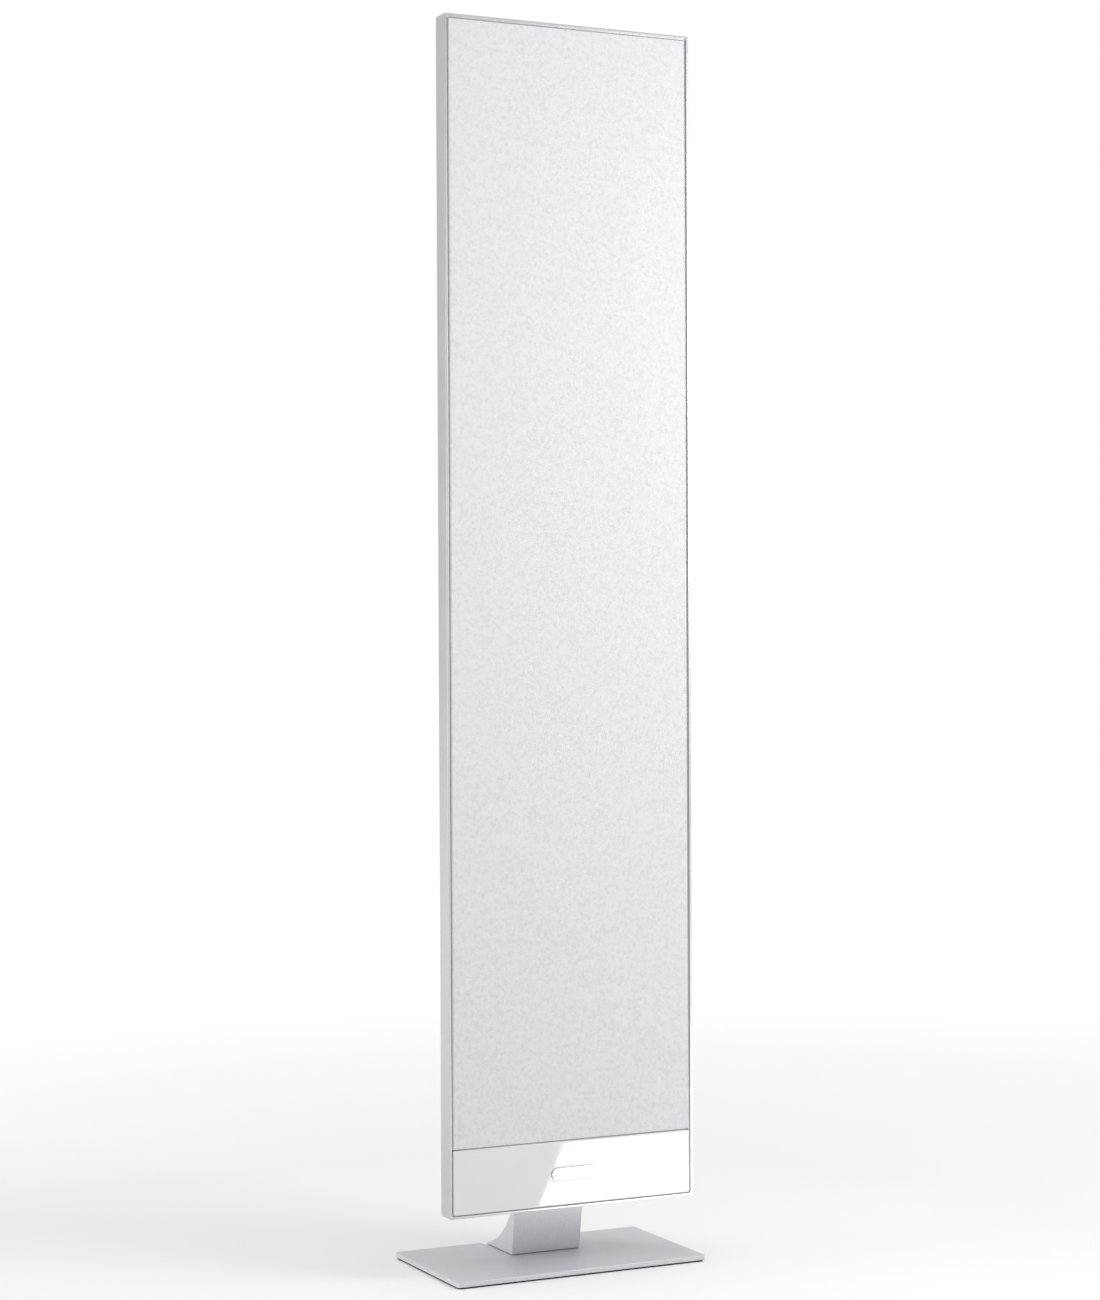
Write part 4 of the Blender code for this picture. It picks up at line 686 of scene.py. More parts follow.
def screw_tree():
    """Cap screws on points: chamfered head, hexagon socket and threaded shank, driven along +Z.

    Their sizes are in millimetres, because booleans need room, and the instances are scaled to metres.
    """
    tree, given = new_tree("cap_screws", {
        "Head Radius": "Float", "Head Height": "Float", "Chamfer": "Float", "Shank Radius": "Float",
        "Shank Length": "Float", "Thread Pitch": "Float", "Turn": "Rotation", "Finish": "Material"})
    head, rise, chamfer = given["Head Radius"], given["Head Height"], given["Chamfer"]
    shank, reach, pitch = given["Shank Radius"], given["Shank Length"], given["Thread Pitch"]

    def times(value, factor):
        return maths(tree, "MULTIPLY", value, factor)

    def solid(kind, vertices, depth, place, **radii):
        inputs = {key.replace("_", " "): value for key, value in radii.items()}
        made = node(tree, kind, {"Vertices": vertices, "Depth": depth, **inputs}, fill_type="NGON")
        up = node(tree, "ShaderNodeCombineXYZ", {"Z": place}).outputs["Vector"]
        return node(tree, "GeometryNodeTransform", {"Geometry": made.outputs["Mesh"], "Translation": up})

    straight, core_radius = maths(tree, "SUBTRACT", rise, chamfer), times(shank, 0.86)
    body = solid("GeometryNodeMeshCylinder", 40, straight, times(straight, -0.5), Radius=head)
    crown = solid("GeometryNodeMeshCone", 40, times(chamfer, 1.1), times(rise, -1.0),
                  Radius_Top=times(head, 0.998), Radius_Bottom=maths(tree, "SUBTRACT", head, chamfer))
    core = solid("GeometryNodeMeshCylinder", 24, times(reach, 1.04), times(reach, 0.48), Radius=core_radius)
    socket = solid("GeometryNodeMeshCylinder", 6, rise, times(rise, -0.95), Radius=times(head, 0.5))
    joined = node(tree, "GeometryNodeMeshBoolean", operation="UNION")
    for part in (body, crown, core):
        tree.links.new(part.outputs["Geometry"], joined.inputs["Mesh 2"])
    drilled = node(tree, "GeometryNodeMeshBoolean", {"Mesh 1": joined.outputs["Mesh"]},
                   operation="DIFFERENCE")
    tree.links.new(socket.outputs["Geometry"], drilled.inputs["Mesh 2"])
    helix = node(tree, "GeometryNodeCurveSpiral", {
        "Resolution": 14, "Rotations": maths(tree, "DIVIDE", reach, pitch), "Height": reach,
        "Start Radius": core_radius, "End Radius": core_radius})
    thread = swept(tree, helix.outputs["Curve"], circle(tree, 4, times(shank, 0.14)))
    screw = node(tree, "GeometryNodeJoinGeometry")
    for mesh in (drilled.outputs["Mesh"], thread):
        tree.links.new(mesh, screw.inputs["Geometry"])
    placed = node(tree, "GeometryNodeInstanceOnPoints", {
        "Points": given["Geometry"], "Instance": screw.outputs["Geometry"], "Rotation": given["Turn"],
        "Scale": (MM, MM, MM)})
    return end_tree(tree, placed.outputs["Instances"], given)


def winding_tree():
    """Turns of round wire side by side along Y, in one layer."""
    tree, given = new_tree("windings", {"Radius": "Float", "Wire Radius": "Float", "Turns": "Int",
                                        "Pitch": "Float", "Finish": "Material"})
    turn = swept(tree, circle(tree, 64, given["Radius"]), circle(tree, 8, given["Wire Radius"]), False)
    laid = node(tree, "GeometryNodeTransform", {"Geometry": turn, "Rotation": (math.radians(90), 0.0, 0.0)})
    step = node(tree, "ShaderNodeCombineXYZ", {"Y": given["Pitch"]}).outputs["Vector"]
    row = node(tree, "GeometryNodeMeshLine", {"Count": given["Turns"], "Offset": step}, mode="OFFSET")
    spot = node(tree, "GeometryNodeInputPosition").outputs["Position"]
    start = node(tree, "GeometryNodeSampleIndex", {"Geometry": given["Geometry"], "Value": spot, "Index": 0},
                 data_type="FLOAT_VECTOR")
    moved = node(tree, "GeometryNodeTransform", {"Geometry": row.outputs["Mesh"],
                                                 "Translation": start.outputs[0]})
    placed = node(tree, "GeometryNodeInstanceOnPoints", {"Points": moved.outputs["Geometry"],
                                                         "Instance": laid.outputs["Geometry"]})
    return end_tree(tree, placed.outputs["Instances"], given)


def stud_tree():
    """Low domes on points, for solder joints and the pips that hold cloth."""
    tree, given = new_tree("studs", {"Radius": "Float", "Height": "Float", "Turn": "Rotation",
                                     "Finish": "Material"})
    ball = node(tree, "GeometryNodeMeshUVSphere", {"Segments": 20, "Rings": 10, "Radius": given["Radius"]})
    flat = node(tree, "ShaderNodeCombineXYZ", {"X": 1.0, "Y": 1.0, "Z": maths(
        tree, "DIVIDE", given["Height"], given["Radius"])}).outputs["Vector"]
    dome = node(tree, "GeometryNodeTransform", {"Geometry": ball.outputs["Mesh"], "Scale": flat})
    placed = node(tree, "GeometryNodeInstanceOnPoints", {
        "Points": given["Geometry"], "Instance": dome.outputs["Geometry"], "Rotation": given["Turn"]})
    return end_tree(tree, placed.outputs["Instances"], given)


TREES = {"cap_screws": screw_tree, "windings": winding_tree, "studs": stud_tree}


def grown(name, tree_name, points, **values):
    """A plain mesh grown by a tree on points: values are the tree's inputs, with _ for a space."""
    tree = bpy.data.node_groups.get(tree_name) or TREES[tree_name]()
    mesh = bpy.data.meshes.new(name)
    mesh.from_pydata([tuple(p) for p in points], [], [])
    piece = link(bpy.data.objects.new(name, mesh))
    modifier = piece.modifiers.new(tree_name, "NODES")
    modifier.node_group = tree
    sockets = {s.name: s.identifier for s in tree.interface.items_tree if s.in_out == "INPUT"}
    for key, value in values.items():
        modifier[sockets[key.replace("_", " ")]] = value
    flatten(piece)
    piece.data.shade_smooth()
    piece.data.set_sharp_from_angle(angle=math.radians(35))
    return piece


# Each family of like screws: its finish, the way it is driven, the shank's radius, the head's height
# and the thread's pitch in millimetres, and its nodes
SCREWS = {
    "driver_screws": ("screw_black", "+Y", 1.25, 1.2, 0.8,
                      [f"{name}_woofer_screw_{i}" for name in DRIVERS for i in (1, 2, 3)]
                      + ["tweeter_screw_left", "tweeter_screw_right"]),
    "cover_screws": ("screw_black", "-Y", 1.45, 1.8, 0.8,
                     [f"cover_screw_{side}_{level}" for side in ("left", "right")
                      for level in ("bottom", "middle", "top")]),
    "tongue_screws": ("screw_zinc", "-Y", 1.8, 2.0, 0.7, ["tongue_screw_lower", "tongue_screw_upper"]),
    "base_screws": ("screw_zinc", "+Z", 1.8, 1.6, 0.7, ["base_screw_left", "base_screw_right"]),
}


def screws(name, slot, toward, shank, head_height, pitch, nodes):
    """One piece for a family of like screws that all point the same way, with sizes in millimetres."""
    axis, forward = "XYZ".index(toward[1]), toward[0] == "+"
    points = []
    for screw in nodes:
        low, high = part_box(screw)
        size = high - low
        spot = (low + high) / 2
        spot[axis] = low[axis] + head_height * MM if forward else high[axis] - head_height * MM
        points.append(spot)
    turn = {"+Y": -90, "-Y": 90, "+Z": 0}[toward]
    piece = grown(name, "cap_screws", points, Head_Radius=size.x / 2 / MM, Head_Height=head_height,
                  Chamfer=0.22 * head_height, Shank_Radius=shank, Thread_Pitch=pitch,
                  Shank_Length=size[axis] / MM - head_height, Turn=Euler((math.radians(turn), 0, 0)),
                  Finish=finish_of(slot))
    return settle(piece, "cabinet", slot, *nodes)


# ---- Cabinet -------------------------------------------------------------------------------------

def make_outer_frame(sizes):
    """The extruded frame: a rim in front, a ledge that floors the groove, a flank and a rear flange."""
    low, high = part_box("outer_frame")
    depth = high.y - low.y
    wall, reach, corner = sizes.frame_wall, sizes.frame_flange_reach, sizes.frame_corner
    front, rear, groove = sizes.frame_front_edge, sizes.frame_rear_edge, sizes.groove_depth
    flange = depth - sizes.frame_flange
    side, foot = wall + sizes.ledge_sides, wall + sizes.ledge_foot
    sections = [(front - x, front - x, front + y) for x, y in arc((0, 0), front, -90, 0, 4)]
    sections += [(rear - x, rear - x, y) for x, y in arc((0, depth - rear), rear, 0, 90, 8)]
    sections += [(reach, reach, depth), (reach, reach, flange), (wall, wall, flange),
                 (wall, wall, sizes.ledge_back), (side, foot, sizes.ledge_back), (side, foot, groove),
                 (wall, wall, groove), (wall, wall, 0)]
    loops = [[(x, low.y + y, z)
              for x, z in rounded_rectangle(high.x - inset, low.z + sill, high.z - inset, corner)]
             for inset, sill, y in sections]
    piece = soften(skinned("extruded_frame", loops, closed=True), sizes.frame_arris, 2, 50)
    settle(piece, "cabinet", "silver_frame", "outer_frame")


def make_fascia(sizes):
    """The gloss panel with its lip, and the badge on it."""
    low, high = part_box("lower_fascia")
    outline = rounded_rectangle(high.x, low.z, high.z, sizes.fascia_corner)
    fascia = soften(slab("gloss_panel", outline, low.y, high.y), sizes.fascia_edge, 6)
    inset = 1.3 * sizes.fascia_edge
    settle(fascia, "cabinet", "gloss_white", "lower_fascia")
    lip = block("gloss_panel_lip", (low.x + inset, low.y + inset, high.z - 2 * inset),
                (high.x - inset, high.y - inset, high.z + sizes.fascia_lip))
    settle(lip, "cabinet", "gloss_white", "lower_fascia")
    low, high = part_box("badge")
    outline = rounded_rectangle(high.x, low.z, high.z, (high.z - low.z) / 2 - MERGE, 16)
    badge = soften(slab("badge_pill", outline, low.y, high.y), sizes.badge_edge)
    settle(badge, "cabinet", "badge_metal", "badge")


def make_cloth(sizes):
    """One sheet pulled over the grille's frame, folded round its edges and tucked in behind."""
    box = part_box("grille_cloth")
    low, high = box
    radius, depth = sizes.cloth_edge, high.y - low.y
    sections = [(0, depth, 0.5 * MM)] + [(radius - x, radius + y, 0.5 * MM)
                                         for x, y in arc((0, 0), radius, 0, -90, 8)]
    work = bmesh.new()
    rings = skin(work, panel_loops(box, sections), capped=False)
    front = work.faces.new(rings[-1])
    bmesh.ops.recalc_face_normals(work, faces=work.faces)
    if front.normal.y > 0:
        bmesh.ops.reverse_faces(work, faces=work.faces)
    fill_front(work, front, box, radius, sizes.cloth_hollow)
    piece = new_piece("grille_cloth_sheet", work)
    wall = piece.modifiers.new("thickness", "SOLIDIFY")
    wall.thickness = sizes.cloth_thickness
    wall.offset = -1.0
    flatten(piece)
    settle(piece, "grille", "grille_cloth", "grille_cloth")


def fill_front(work, front, box, radius, hollow):
    """Lay a grid over the cloth's front, which sinks a little between the bars that hold it."""
    low, high = box
    bars = grille_bars()
    columns, rows, inset = 28, 118, 1.5 * radius
    left, right, bottom, top = low.x + inset, high.x - inset, low.z + inset, high.z - inset
    edge = list(front.verts)
    work.faces.remove(front)
    grid = []
    for j in range(rows + 1):
        z = bottom + (top - bottom) * j / rows
        foot, head = next((b for b in zip(bars, bars[1:]) if b[0] <= z <= b[1]), (bottom, top))
        lift = math.sin(math.pi * (z - foot) / (head - foot))
        line = []
        for i in range(columns + 1):
            x = left + (right - left) * i / columns
            sink = hollow * math.sin(math.pi * i / columns) * max(lift, 0.0)
            line.append(work.verts.new((x, low.y + sink, z)))
        grid.append(line)
    for lower, upper in zip(grid, grid[1:]):
        for i in range(columns):
            work.faces.new((lower[i], lower[i + 1], upper[i + 1], upper[i]))
    rim = grid[0] + [line[-1] for line in grid[1:]] + grid[-1][-2::-1] + [line[0] for line in grid[-2:0:-1]]
    edges = [work.edges.get(pair) for loop in (rim, edge) for pair in zip(loop, loop[1:] + loop[:1])]
    bmesh.ops.bridge_loops(work, edges=edges)


def grille_bars():
    """Heights of the grille frame's cross bars, read from its mesh beside the side bars."""
    low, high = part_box("grille_frame")
    beside, thickest = (0.8 * high.x, 0.93 * high.x), 4 * MM
    edges = sorted({round(v.co.z, 5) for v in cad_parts["grille_frame"].data.vertices
                    if beside[0] < abs(v.co.x) < beside[1]})
    inner = [z for z in edges if low.z + MM < z < high.z - MM]
    bars = [(a + b) / 2 for a, b in zip(inner, inner[1:]) if b - a < thickest]
    return [low.z] + bars + [high.z]


def make_grille_frame(sizes):
    """The grille's moulded frame, with its bars and pegs."""
    piece = copied("moulded_grille_frame", "grille_frame", sizes.grille_edge)
    settle(piece, "grille", "grille_plastic", "grille_frame")


# Radii of the holes that the drivers' bodies pass through
DRIVER_BODY = 50.0 * MM
TWEETER_BODY = 19.7 * MM


def make_baffle(sizes):
    """The moulded baffle, its stepped driver holes and peg sockets cut as true rounds."""
    low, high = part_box("front_baffle")
    thickness, seat_depth, seat_gap = 5.0 * MM, 2.3 * MM, 0.3 * MM
    peg_radius, peg_depth, boss_radius, boss_inset = 2.5 * MM, 3.4 * MM, 3 * MM, 6 * MM
    rear = low.y + thickness
    baffle = slab("moulded_baffle", rounded_rectangle(high.x, low.z, high.z, sizes.frame_corner), low.y, rear)
    cutter = bmesh.new()
    for name, body in (("upper_basket", DRIVER_BODY), ("lower_basket", DRIVER_BODY),
                       ("tweeter_faceplate", TWEETER_BODY)):
        near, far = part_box(name)
        x, z = middle(name)
        rim, step = (far.x - near.x) / 2 + seat_gap, low.y + seat_depth
        spin(cutter, [(0, low.y - MM), (rim, low.y - MM), (rim, step), (body, step), (body, rear + MM),
                      (0, rear + MM)], (x, 0, z))
    combine(baffle, new_piece("driver_holes", cutter))
    sockets = bmesh.new()
    for x, z in peg_places():
        spin(sockets, [(0, low.y - MM), (peg_radius, low.y - MM), (peg_radius, low.y + peg_depth),
                       (0, low.y + peg_depth)], (x, 0, z), ROUND)
    combine(baffle, new_piece("peg_sockets", sockets))
    bosses = bmesh.new()
    board_low, board_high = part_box("crossover_board")
    for x in (board_low.x + boss_inset, board_high.x - boss_inset):
        for z in (board_low.z + boss_inset, board_high.z - boss_inset):
            spin(bosses, [(0, rear - MM), (boss_radius, rear - MM), (boss_radius, high.y), (0, high.y)],
                 (x, 0, z), ROUND)
    combine(baffle, new_piece("board_bosses", bosses), "UNION")
    settle(soften(baffle, 0.3 * MM), "cabinet", "baffle_plastic", "front_baffle")
    carry("foam_seal", "cabinet_gasket")


def peg_places():
    """Where the grille's six pegs stand, from its box and the tweeter's height."""
    low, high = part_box("grille_frame")
    x = high.x - 2.5 * MM
    rise = 12.0 * MM - (low.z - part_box("grille_cloth")[0].z)
    heights = (low.z + rise, middle("tweeter_faceplate")[1], high.z - rise)
    return [(side * x, z) for side in (-1, 1) for z in heights]


def make_rear_cover(sizes):
    """A brim and a tapered pan, with a pocket for the stand's tongue and a window for the terminals."""
    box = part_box("rear_cover")
    low, high = box
    frame_low, frame_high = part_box("outer_frame")
    depth, wall = high.y - low.y, sizes.wall
    inset = sizes.pan_inset - (frame_high.x - high.x)
    back = inset + sizes.pan_taper
    corner, edge, foot = sizes.pan_corner, sizes.pan_edge, sizes.pan_foot
    sections = [(0, 0, sizes.brim_corner), (0, wall, sizes.brim_corner)]
    sections += [(inset - foot + x, wall + foot - y, corner)
                 for x, y in reversed(arc((0, 0), foot, 0, 90, 5))]
    sections += [(back + edge - x, depth - edge + y, corner) for x, y in arc((0, 0), edge, 0, 90, 6)]
    cover = skinned("moulded_rear_cover", panel_loops(box, sections))
    inner = corner - wall
    inside = [(inset + wall, -MM, inner), (inset + wall, wall, inner), (back + wall, depth - wall, inner)]
    hollow = skinned("hollow", panel_loops(box, inside))
    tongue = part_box("stand_neck")[1]
    half, top = tongue.x + sizes.pocket_gap, tongue.z + sizes.pocket_top_gap
    floor, under, beyond = high.y - sizes.pocket_depth, frame_low.z - MM, 4 * MM
    combine(hollow, block("pocket_wall", (-half - wall, floor - wall, under),
                          (half + wall, high.y + MM, top + wall)))
    combine(cover, hollow)
    pocket = block("pocket", (-half, floor, under - beyond), (half, high.y + beyond, top))
    combine(cover, soften(pocket, sizes.pocket_edge, 4))
    cup_low, cup_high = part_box("terminal_cup")
    lap = sizes.window_lap
    combine(cover, block("window", (cup_low.x + lap, high.y - wall - MM, cup_low.z + lap),
                         (cup_high.x - lap, high.y + MM, cup_high.z - lap)))
    settle(soften(cover, sizes.moulded_edge, 3, 50), "cabinet", "cover_plastic", "rear_cover")


# ---- Stand ---------------------------------------------------------------------------------------

def make_plate(sizes):
    """The base plate with its cable notch, cut from an outline with true arcs."""
    low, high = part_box("base_plate")
    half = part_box("stand_neck")[1].x + sizes.notch_gap
    corner, inner = sizes.plate_corner, sizes.notch_corner
    bite = high.y - sizes.notch_depth + inner
    outline = [(half, high.y), (half, bite)]
    outline += arc((half - inner, bite), inner, 0, -90, 4) + arc((inner - half, bite), inner, -90, -180, 4)
    outline += [(-half, high.y)]
    for x, y, angle in ((low.x, high.y, 90), (low.x, low.y, 180), (high.x, low.y, 270), (high.x, high.y, 0)):
        centre = (x - math.copysign(corner, x), y - math.copysign(corner, y))
        outline += arc(centre, corner, angle, angle + 90, 10)
    plate = skinned("coated_base_plate", [[(x, y, z) for x, y in outline] for z in (low.z, high.z)])
    soften(plate, sizes.plate_edge, 4)
    settle(plate, "cabinet", "silver_plate", "base_plate")
    carry("rubber_pad", "base_pad")


def make_neck(sizes):
    """The solid neck from the side: a flat foot, a leaning front, a hollow rear and a tongue."""
    low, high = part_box("stand_neck")
    rear = low.y + sizes.tongue_thickness
    start = Vector((rear, low.z + sizes.sweep_top))
    end = Vector((high.y, low.z + sizes.neck_lip))
    chord = end - start
    side = Vector((chord.y, -chord.x)).normalized()
    radius = (chord.length_squared / 4 + sizes.sweep_sag ** 2) / (2 * sizes.sweep_sag)
    centre = (start + end) / 2 - side * (radius - sizes.sweep_sag)
    half = math.asin(chord.length / 2 / radius)
    outline = [(high.y, low.z), (low.y + sizes.neck_lean, low.z), (low.y, low.z + sizes.sweep_top),
               (low.y, high.z), (rear, high.z)]
    steps = 28
    for i in range(steps + 1):
        turn = half * (2 * i / steps - 1)
        outline.append(centre + (chord.normalized() * math.sin(turn) + side * math.cos(turn)) * radius)
    neck = skinned("coated_neck", [[(x, y, z) for y, z in outline] for x in (low.x, high.x)])
    settle(soften(neck, sizes.neck_edge, 4, 30), "cabinet", "silver_neck", "stand_neck")


# ---- Drivers -------------------------------------------------------------------------------------

def make_basket(name, sizes):
    """A cast basket: a flange with the surround's seat, a tapered body and a plate behind."""
    source = name + "_basket"
    low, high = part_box(source)
    radius, front, rear = high.x, low.y, high.y
    body, shelf = radius - sizes.body_inset, radius - sizes.shelf_inset
    taper, plate, dish, rim = 2.0 * MM, 1.4 * MM, 6.0 * MM, 3.0 * MM
    wall, seat, flange = sizes.basket_wall, front + sizes.shelf_depth, front + sizes.flange
    ledge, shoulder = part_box(name + "_top_plate")[1].x + rim, rear - dish
    profile = [(radius, front), (radius, flange), (body, flange), (body - taper, shoulder),
               (ledge + MM, rear), (sizes.basket_throat, rear), (sizes.basket_throat, rear - plate),
               (ledge, rear - plate), (body - taper - wall, shoulder - 0.8 * MM), (body - wall, seat),
               (shelf, seat), (shelf, front)]
    piece = turned(name + "_cast_basket", profile, middle(source), 0.3 * MM)
    settle(piece, "cabinet", "basket_alloy", source)


def make_surround(name, sizes):
    """A rubber ring that steps back in one smooth roll from the basket's seat to the cone's edge."""
    low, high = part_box(name + "_surround")
    centre = middle(name + "_surround")
    half, steps = sizes.rubber / 2, 24
    front, rear = low.y + half, high.y - half
    outer, glued = high.x - sizes.lip - 0.3 * MM, 2.1 * MM
    roll = [(outer - sizes.roll * i / steps, front + (rear - front) * (1 - math.cos(math.pi * i / steps)) / 2)
            for i in range(steps + 1)]
    line = [(high.x, front)] + roll + [(outer - sizes.roll - glued, rear)]
    piece = turned(name + "_rubber_surround", band(line, sizes.rubber), centre, 0.12 * MM)
    settle(piece, None, "surround_rubber", name + "_surround")
    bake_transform(piece)


def make_cone(name, sizes):
    """Cone, dust cap and voice coil, which move together."""
    low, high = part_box(name + "_cone")
    body, centre = name + "_cone", middle(name + "_cone")
    wall, steps = sizes.cone_wall, 20
    rim, hollow = 1.05 * MM, 0.05
    outer, neck = high.x - rim, sizes.coil_outer + 0.5 * MM
    front = []
    for i in range(steps + 1):
        t = i / steps
        fall = t - hollow * math.sin(math.pi * t)
        front.append((outer + (neck - outer) * t, low.y + (high.y - wall - low.y) * fall))
    profile = [(high.x, low.y)] + front + [(r, d + wall) for r, d in reversed(front)]
    profile.append((high.x, low.y + wall))
    cone = turned(name + "_paper_cone", profile, centre, 0.1 * MM)
    settle(cone, body, "cone_fibre", name + "_cone")
    low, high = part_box(name + "_dust_cap")
    radius, rise = high.x, high.y - low.y
    lines = dome(radius, rise, high.y, 16) + dome(radius - wall, rise - wall, high.y, 16)[::-1]
    settle(turned(name + "_paper_dust_cap", lines, centre), body, "cone_fibre", name + "_dust_cap")
    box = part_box(name + "_voice_coil")
    former = sizes.coil_inner + 0.5 * MM
    tube = turned(name + "_coil_former", ring(box, sizes.coil_inner, former), centre)
    settle(tube, body, "cone_fibre")
    pitch, turns = 2 * sizes.wire, 12
    spot = (centre[0], box[1].y - sizes.wire - pitch * (turns - 1), centre[1])
    for layer in (0, 1):
        radius = former + sizes.wire + layer * pitch * math.sin(math.radians(60))
        wire = grown(f"{name}_coil_winding_{layer + 1}", "windings", [spot], Radius=radius,
                     Turns=turns - layer, Wire_Radius=sizes.wire, Pitch=pitch,
                     Finish=finish_of("coil_copper"))
        settle(wire, body, "coil_copper", *([name + "_voice_coil"] if layer == 0 else []))


def make_spider(name, sizes):
    """A corrugated ring of stiffened cloth between the basket and the voice coil."""
    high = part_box(name + "_spider")[1]
    centre = middle(name + "_spider")
    half, foot, shoulder, waves = sizes.rubber / 2, 4.0 * MM, 1.5 * MM, sizes.spider_waves
    outer, neck = high.x, sizes.coil_outer + 0.3 * MM
    rear = high.y - half
    front = rear - 1.0 * MM
    steps = 12 * waves
    line = [(outer, rear)]
    for i in range(steps + 1):
        t = i / steps
        wave = sizes.spider_wave * math.sin(math.tau * waves * t) * t ** 0.3
        line.append((outer - foot + (neck + shoulder - outer + foot) * t, rear + (front - rear) * t - wave))
    line.append((neck, front))
    piece = turned(name + "_cotton_spider", band(line, half), centre)
    settle(piece, None, "spider_cloth", name + "_spider")
    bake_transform(piece)


def make_motor(name, sizes):
    """Top plate, magnet and yoke: turned steel rings with machined edges."""
    edge = sizes.machined_edge
    plate_hole, magnet_hole = sizes.coil_outer + 0.8 * MM, 15.5 * MM
    for part, slot, hole in (("top_plate", "motor_steel", plate_hole), ("magnet", "magnet", magnet_hole)):
        source = f"{name}_{part}"
        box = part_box(source)
        piece = turned(f"{name}_turned_{part}", ring(box, hole, box[1].x), middle(source), edge)
        settle(piece, "cabinet", slot, source)
    low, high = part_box(name + "_yoke")
    pole, plate = sizes.coil_inner - 0.8 * MM, high.y - sizes.yoke_plate
    profile = [(0, low.y), (pole, low.y), (pole, plate), (high.x, plate), (high.x, high.y), (0, high.y)]
    piece = turned(name + "_turned_yoke", profile, middle(name + "_yoke"), edge)
    settle(piece, "cabinet", "motor_steel", name + "_yoke")


def make_tweeter(sizes):
    """A dome with its hollow edge roll behind a flared faceplate, and a cup magnet behind that."""
    low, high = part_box("tweeter_faceplate")
    pot_low, pot_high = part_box("tweeter_pot")
    centre = middle("tweeter_faceplate")
    edge, land, pot_gap = sizes.machined_edge, 0.3 * MM, 0.4 * MM
    throat, back, flange = sizes.dome_radius + sizes.throat_gap, high.y, low.y + sizes.flange
    mouth, foot, height = throat + sizes.horn, flange - land, sizes.flange - land
    flare = [(mouth + x * sizes.horn, foot + y * height) for x, y in arc((0, 0), 1.0, 180, 270, 8)]
    profile = [(high.x, low.y), (high.x, flange), (pot_high.x + pot_gap, flange), (pot_high.x, back),
               (throat, back)] + flare
    face = turned("flared_faceplate", profile, centre, 0.15 * MM)
    settle(face, "cabinet", "faceplate_plastic", "tweeter_faceplate")
    low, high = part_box("tweeter_dome")
    rise, wall, hollow, radius = 3.7 * MM, 0.5 * MM, 0.25 * MM, sizes.dome_radius
    base, roll_middle, roll_half = low.y + rise, (high.x + radius) / 2, (high.x - radius) / 2
    roll = [(roll_middle - roll_half * math.cos(t), base + hollow * math.sin(t))
            for t in [math.pi * i / 10 for i in range(1, 11)]]
    skirt = [(high.x, base + wall), (radius, base + wall), (radius, high.y), (radius - wall, high.y),
             (radius - wall, base)]
    inside = dome(radius - wall, rise, base + wall, 20)[-2::-1]
    piece = turned("drawn_dome", dome(radius, rise, base, 20) + roll + skirt + inside, centre)
    piece.data.set_sharp_from_angle(angle=math.radians(40))
    settle(piece, "tweeter_dome", "dome_alloy", "tweeter_dome")
    inner, floor = pot_high.x - 3.0 * MM, pot_high.y - 3.0 * MM
    profile = [(0, pot_high.y), (pot_high.x, pot_high.y), (pot_high.x, pot_low.y), (inner, pot_low.y),
               (inner, floor), (0, floor)]
    settle(turned("turned_pot", profile, centre, edge), "cabinet", "motor_steel", "tweeter_pot")
    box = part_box("tweeter_magnet")
    slug = turned("plated_slug", ring(box, 0, box[1].x), centre, edge)
    settle(slug, "cabinet", "magnet", "tweeter_magnet")


# ---- Crossover and terminals ---------------------------------------------------------------------

# Solder joints on the board, in millimetres from its lower left corner
JOINT_COLUMNS = (10, 18, 60, 68)
JOINT_ROWS = (8, 16, 66, 73)
TERMINAL_EDGE = 0.25 * MM       # rounding of the moulded cup and levers


def make_crossover():
    """The board with its capacitor, its coil and its solder joints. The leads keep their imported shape."""
    board = copied("glass_epoxy_board", "crossover_board", 0.15 * MM, 2)
    settle(board, "cabinet", "circuit_board", "crossover_board")
    case = copied("film_capacitor", "crossover_capacitor", 0.2 * MM, 2)
    settle(case, "cabinet", "capacitor_film", "crossover_capacitor")
    low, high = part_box("crossover_inductor")
    centre = middle("crossover_inductor")
    outer, hole, wire, flange = (high.x - low.x) / 2, 8.0 * MM, 0.5 * MM, 0.8 * MM
    core = outer - 2.4 * wire
    near, far = low.y + flange, high.y - flange
    profile = [(hole, low.y), (outer, low.y), (outer, near), (core, near), (core, far), (outer, far),
               (outer, high.y), (hole, high.y)]
    settle(turned("coil_bobbin", profile, centre, 0.15 * MM, 64), "cabinet", "terminal_black")
    turns = int((high.y - low.y - 2 * flange) / (2 * wire))
    winding = grown("coil_winding", "windings", [(centre[0], near + 1.2 * wire, centre[1])],
                    Radius=core + wire, Wire_Radius=wire, Turns=turns, Pitch=2 * wire,
                    Finish=finish_of("coil_copper"))
    settle(winding, "cabinet", "coil_copper", "crossover_inductor")
    low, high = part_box("crossover_board")
    points = [(low.x + x * MM, high.y, low.z + z * MM) for x in JOINT_COLUMNS for z in JOINT_ROWS]
    joints = grown("solder_joints", "studs", points, Radius=1.3 * MM, Height=0.7 * MM,
                   Turn=Euler((math.radians(90), 0, 0)), Finish=finish_of("screw_zinc"))
    settle(joints, "cabinet", "screw_zinc")
    carry("lead_insulation", "input_lead", "tweeter_lead", "woofer_lead")


def make_terminals():
    """The cup, and two levers that ride on their own bodies."""
    cup = copied("moulded_terminal_cup", "terminal_cup", TERMINAL_EDGE)
    settle(cup, "cabinet", "terminal_black", "terminal_cup")
    for shade in ("red", "black"):
        source = f"terminal_lever_{shade}"
        lever = copied(f"moulded_{shade}_lever", source, TERMINAL_EDGE)
        settle(lever, f"{shade}_lever", f"lever_{shade}", source)


# ---- Stage ---------------------------------------------------------------------------------------

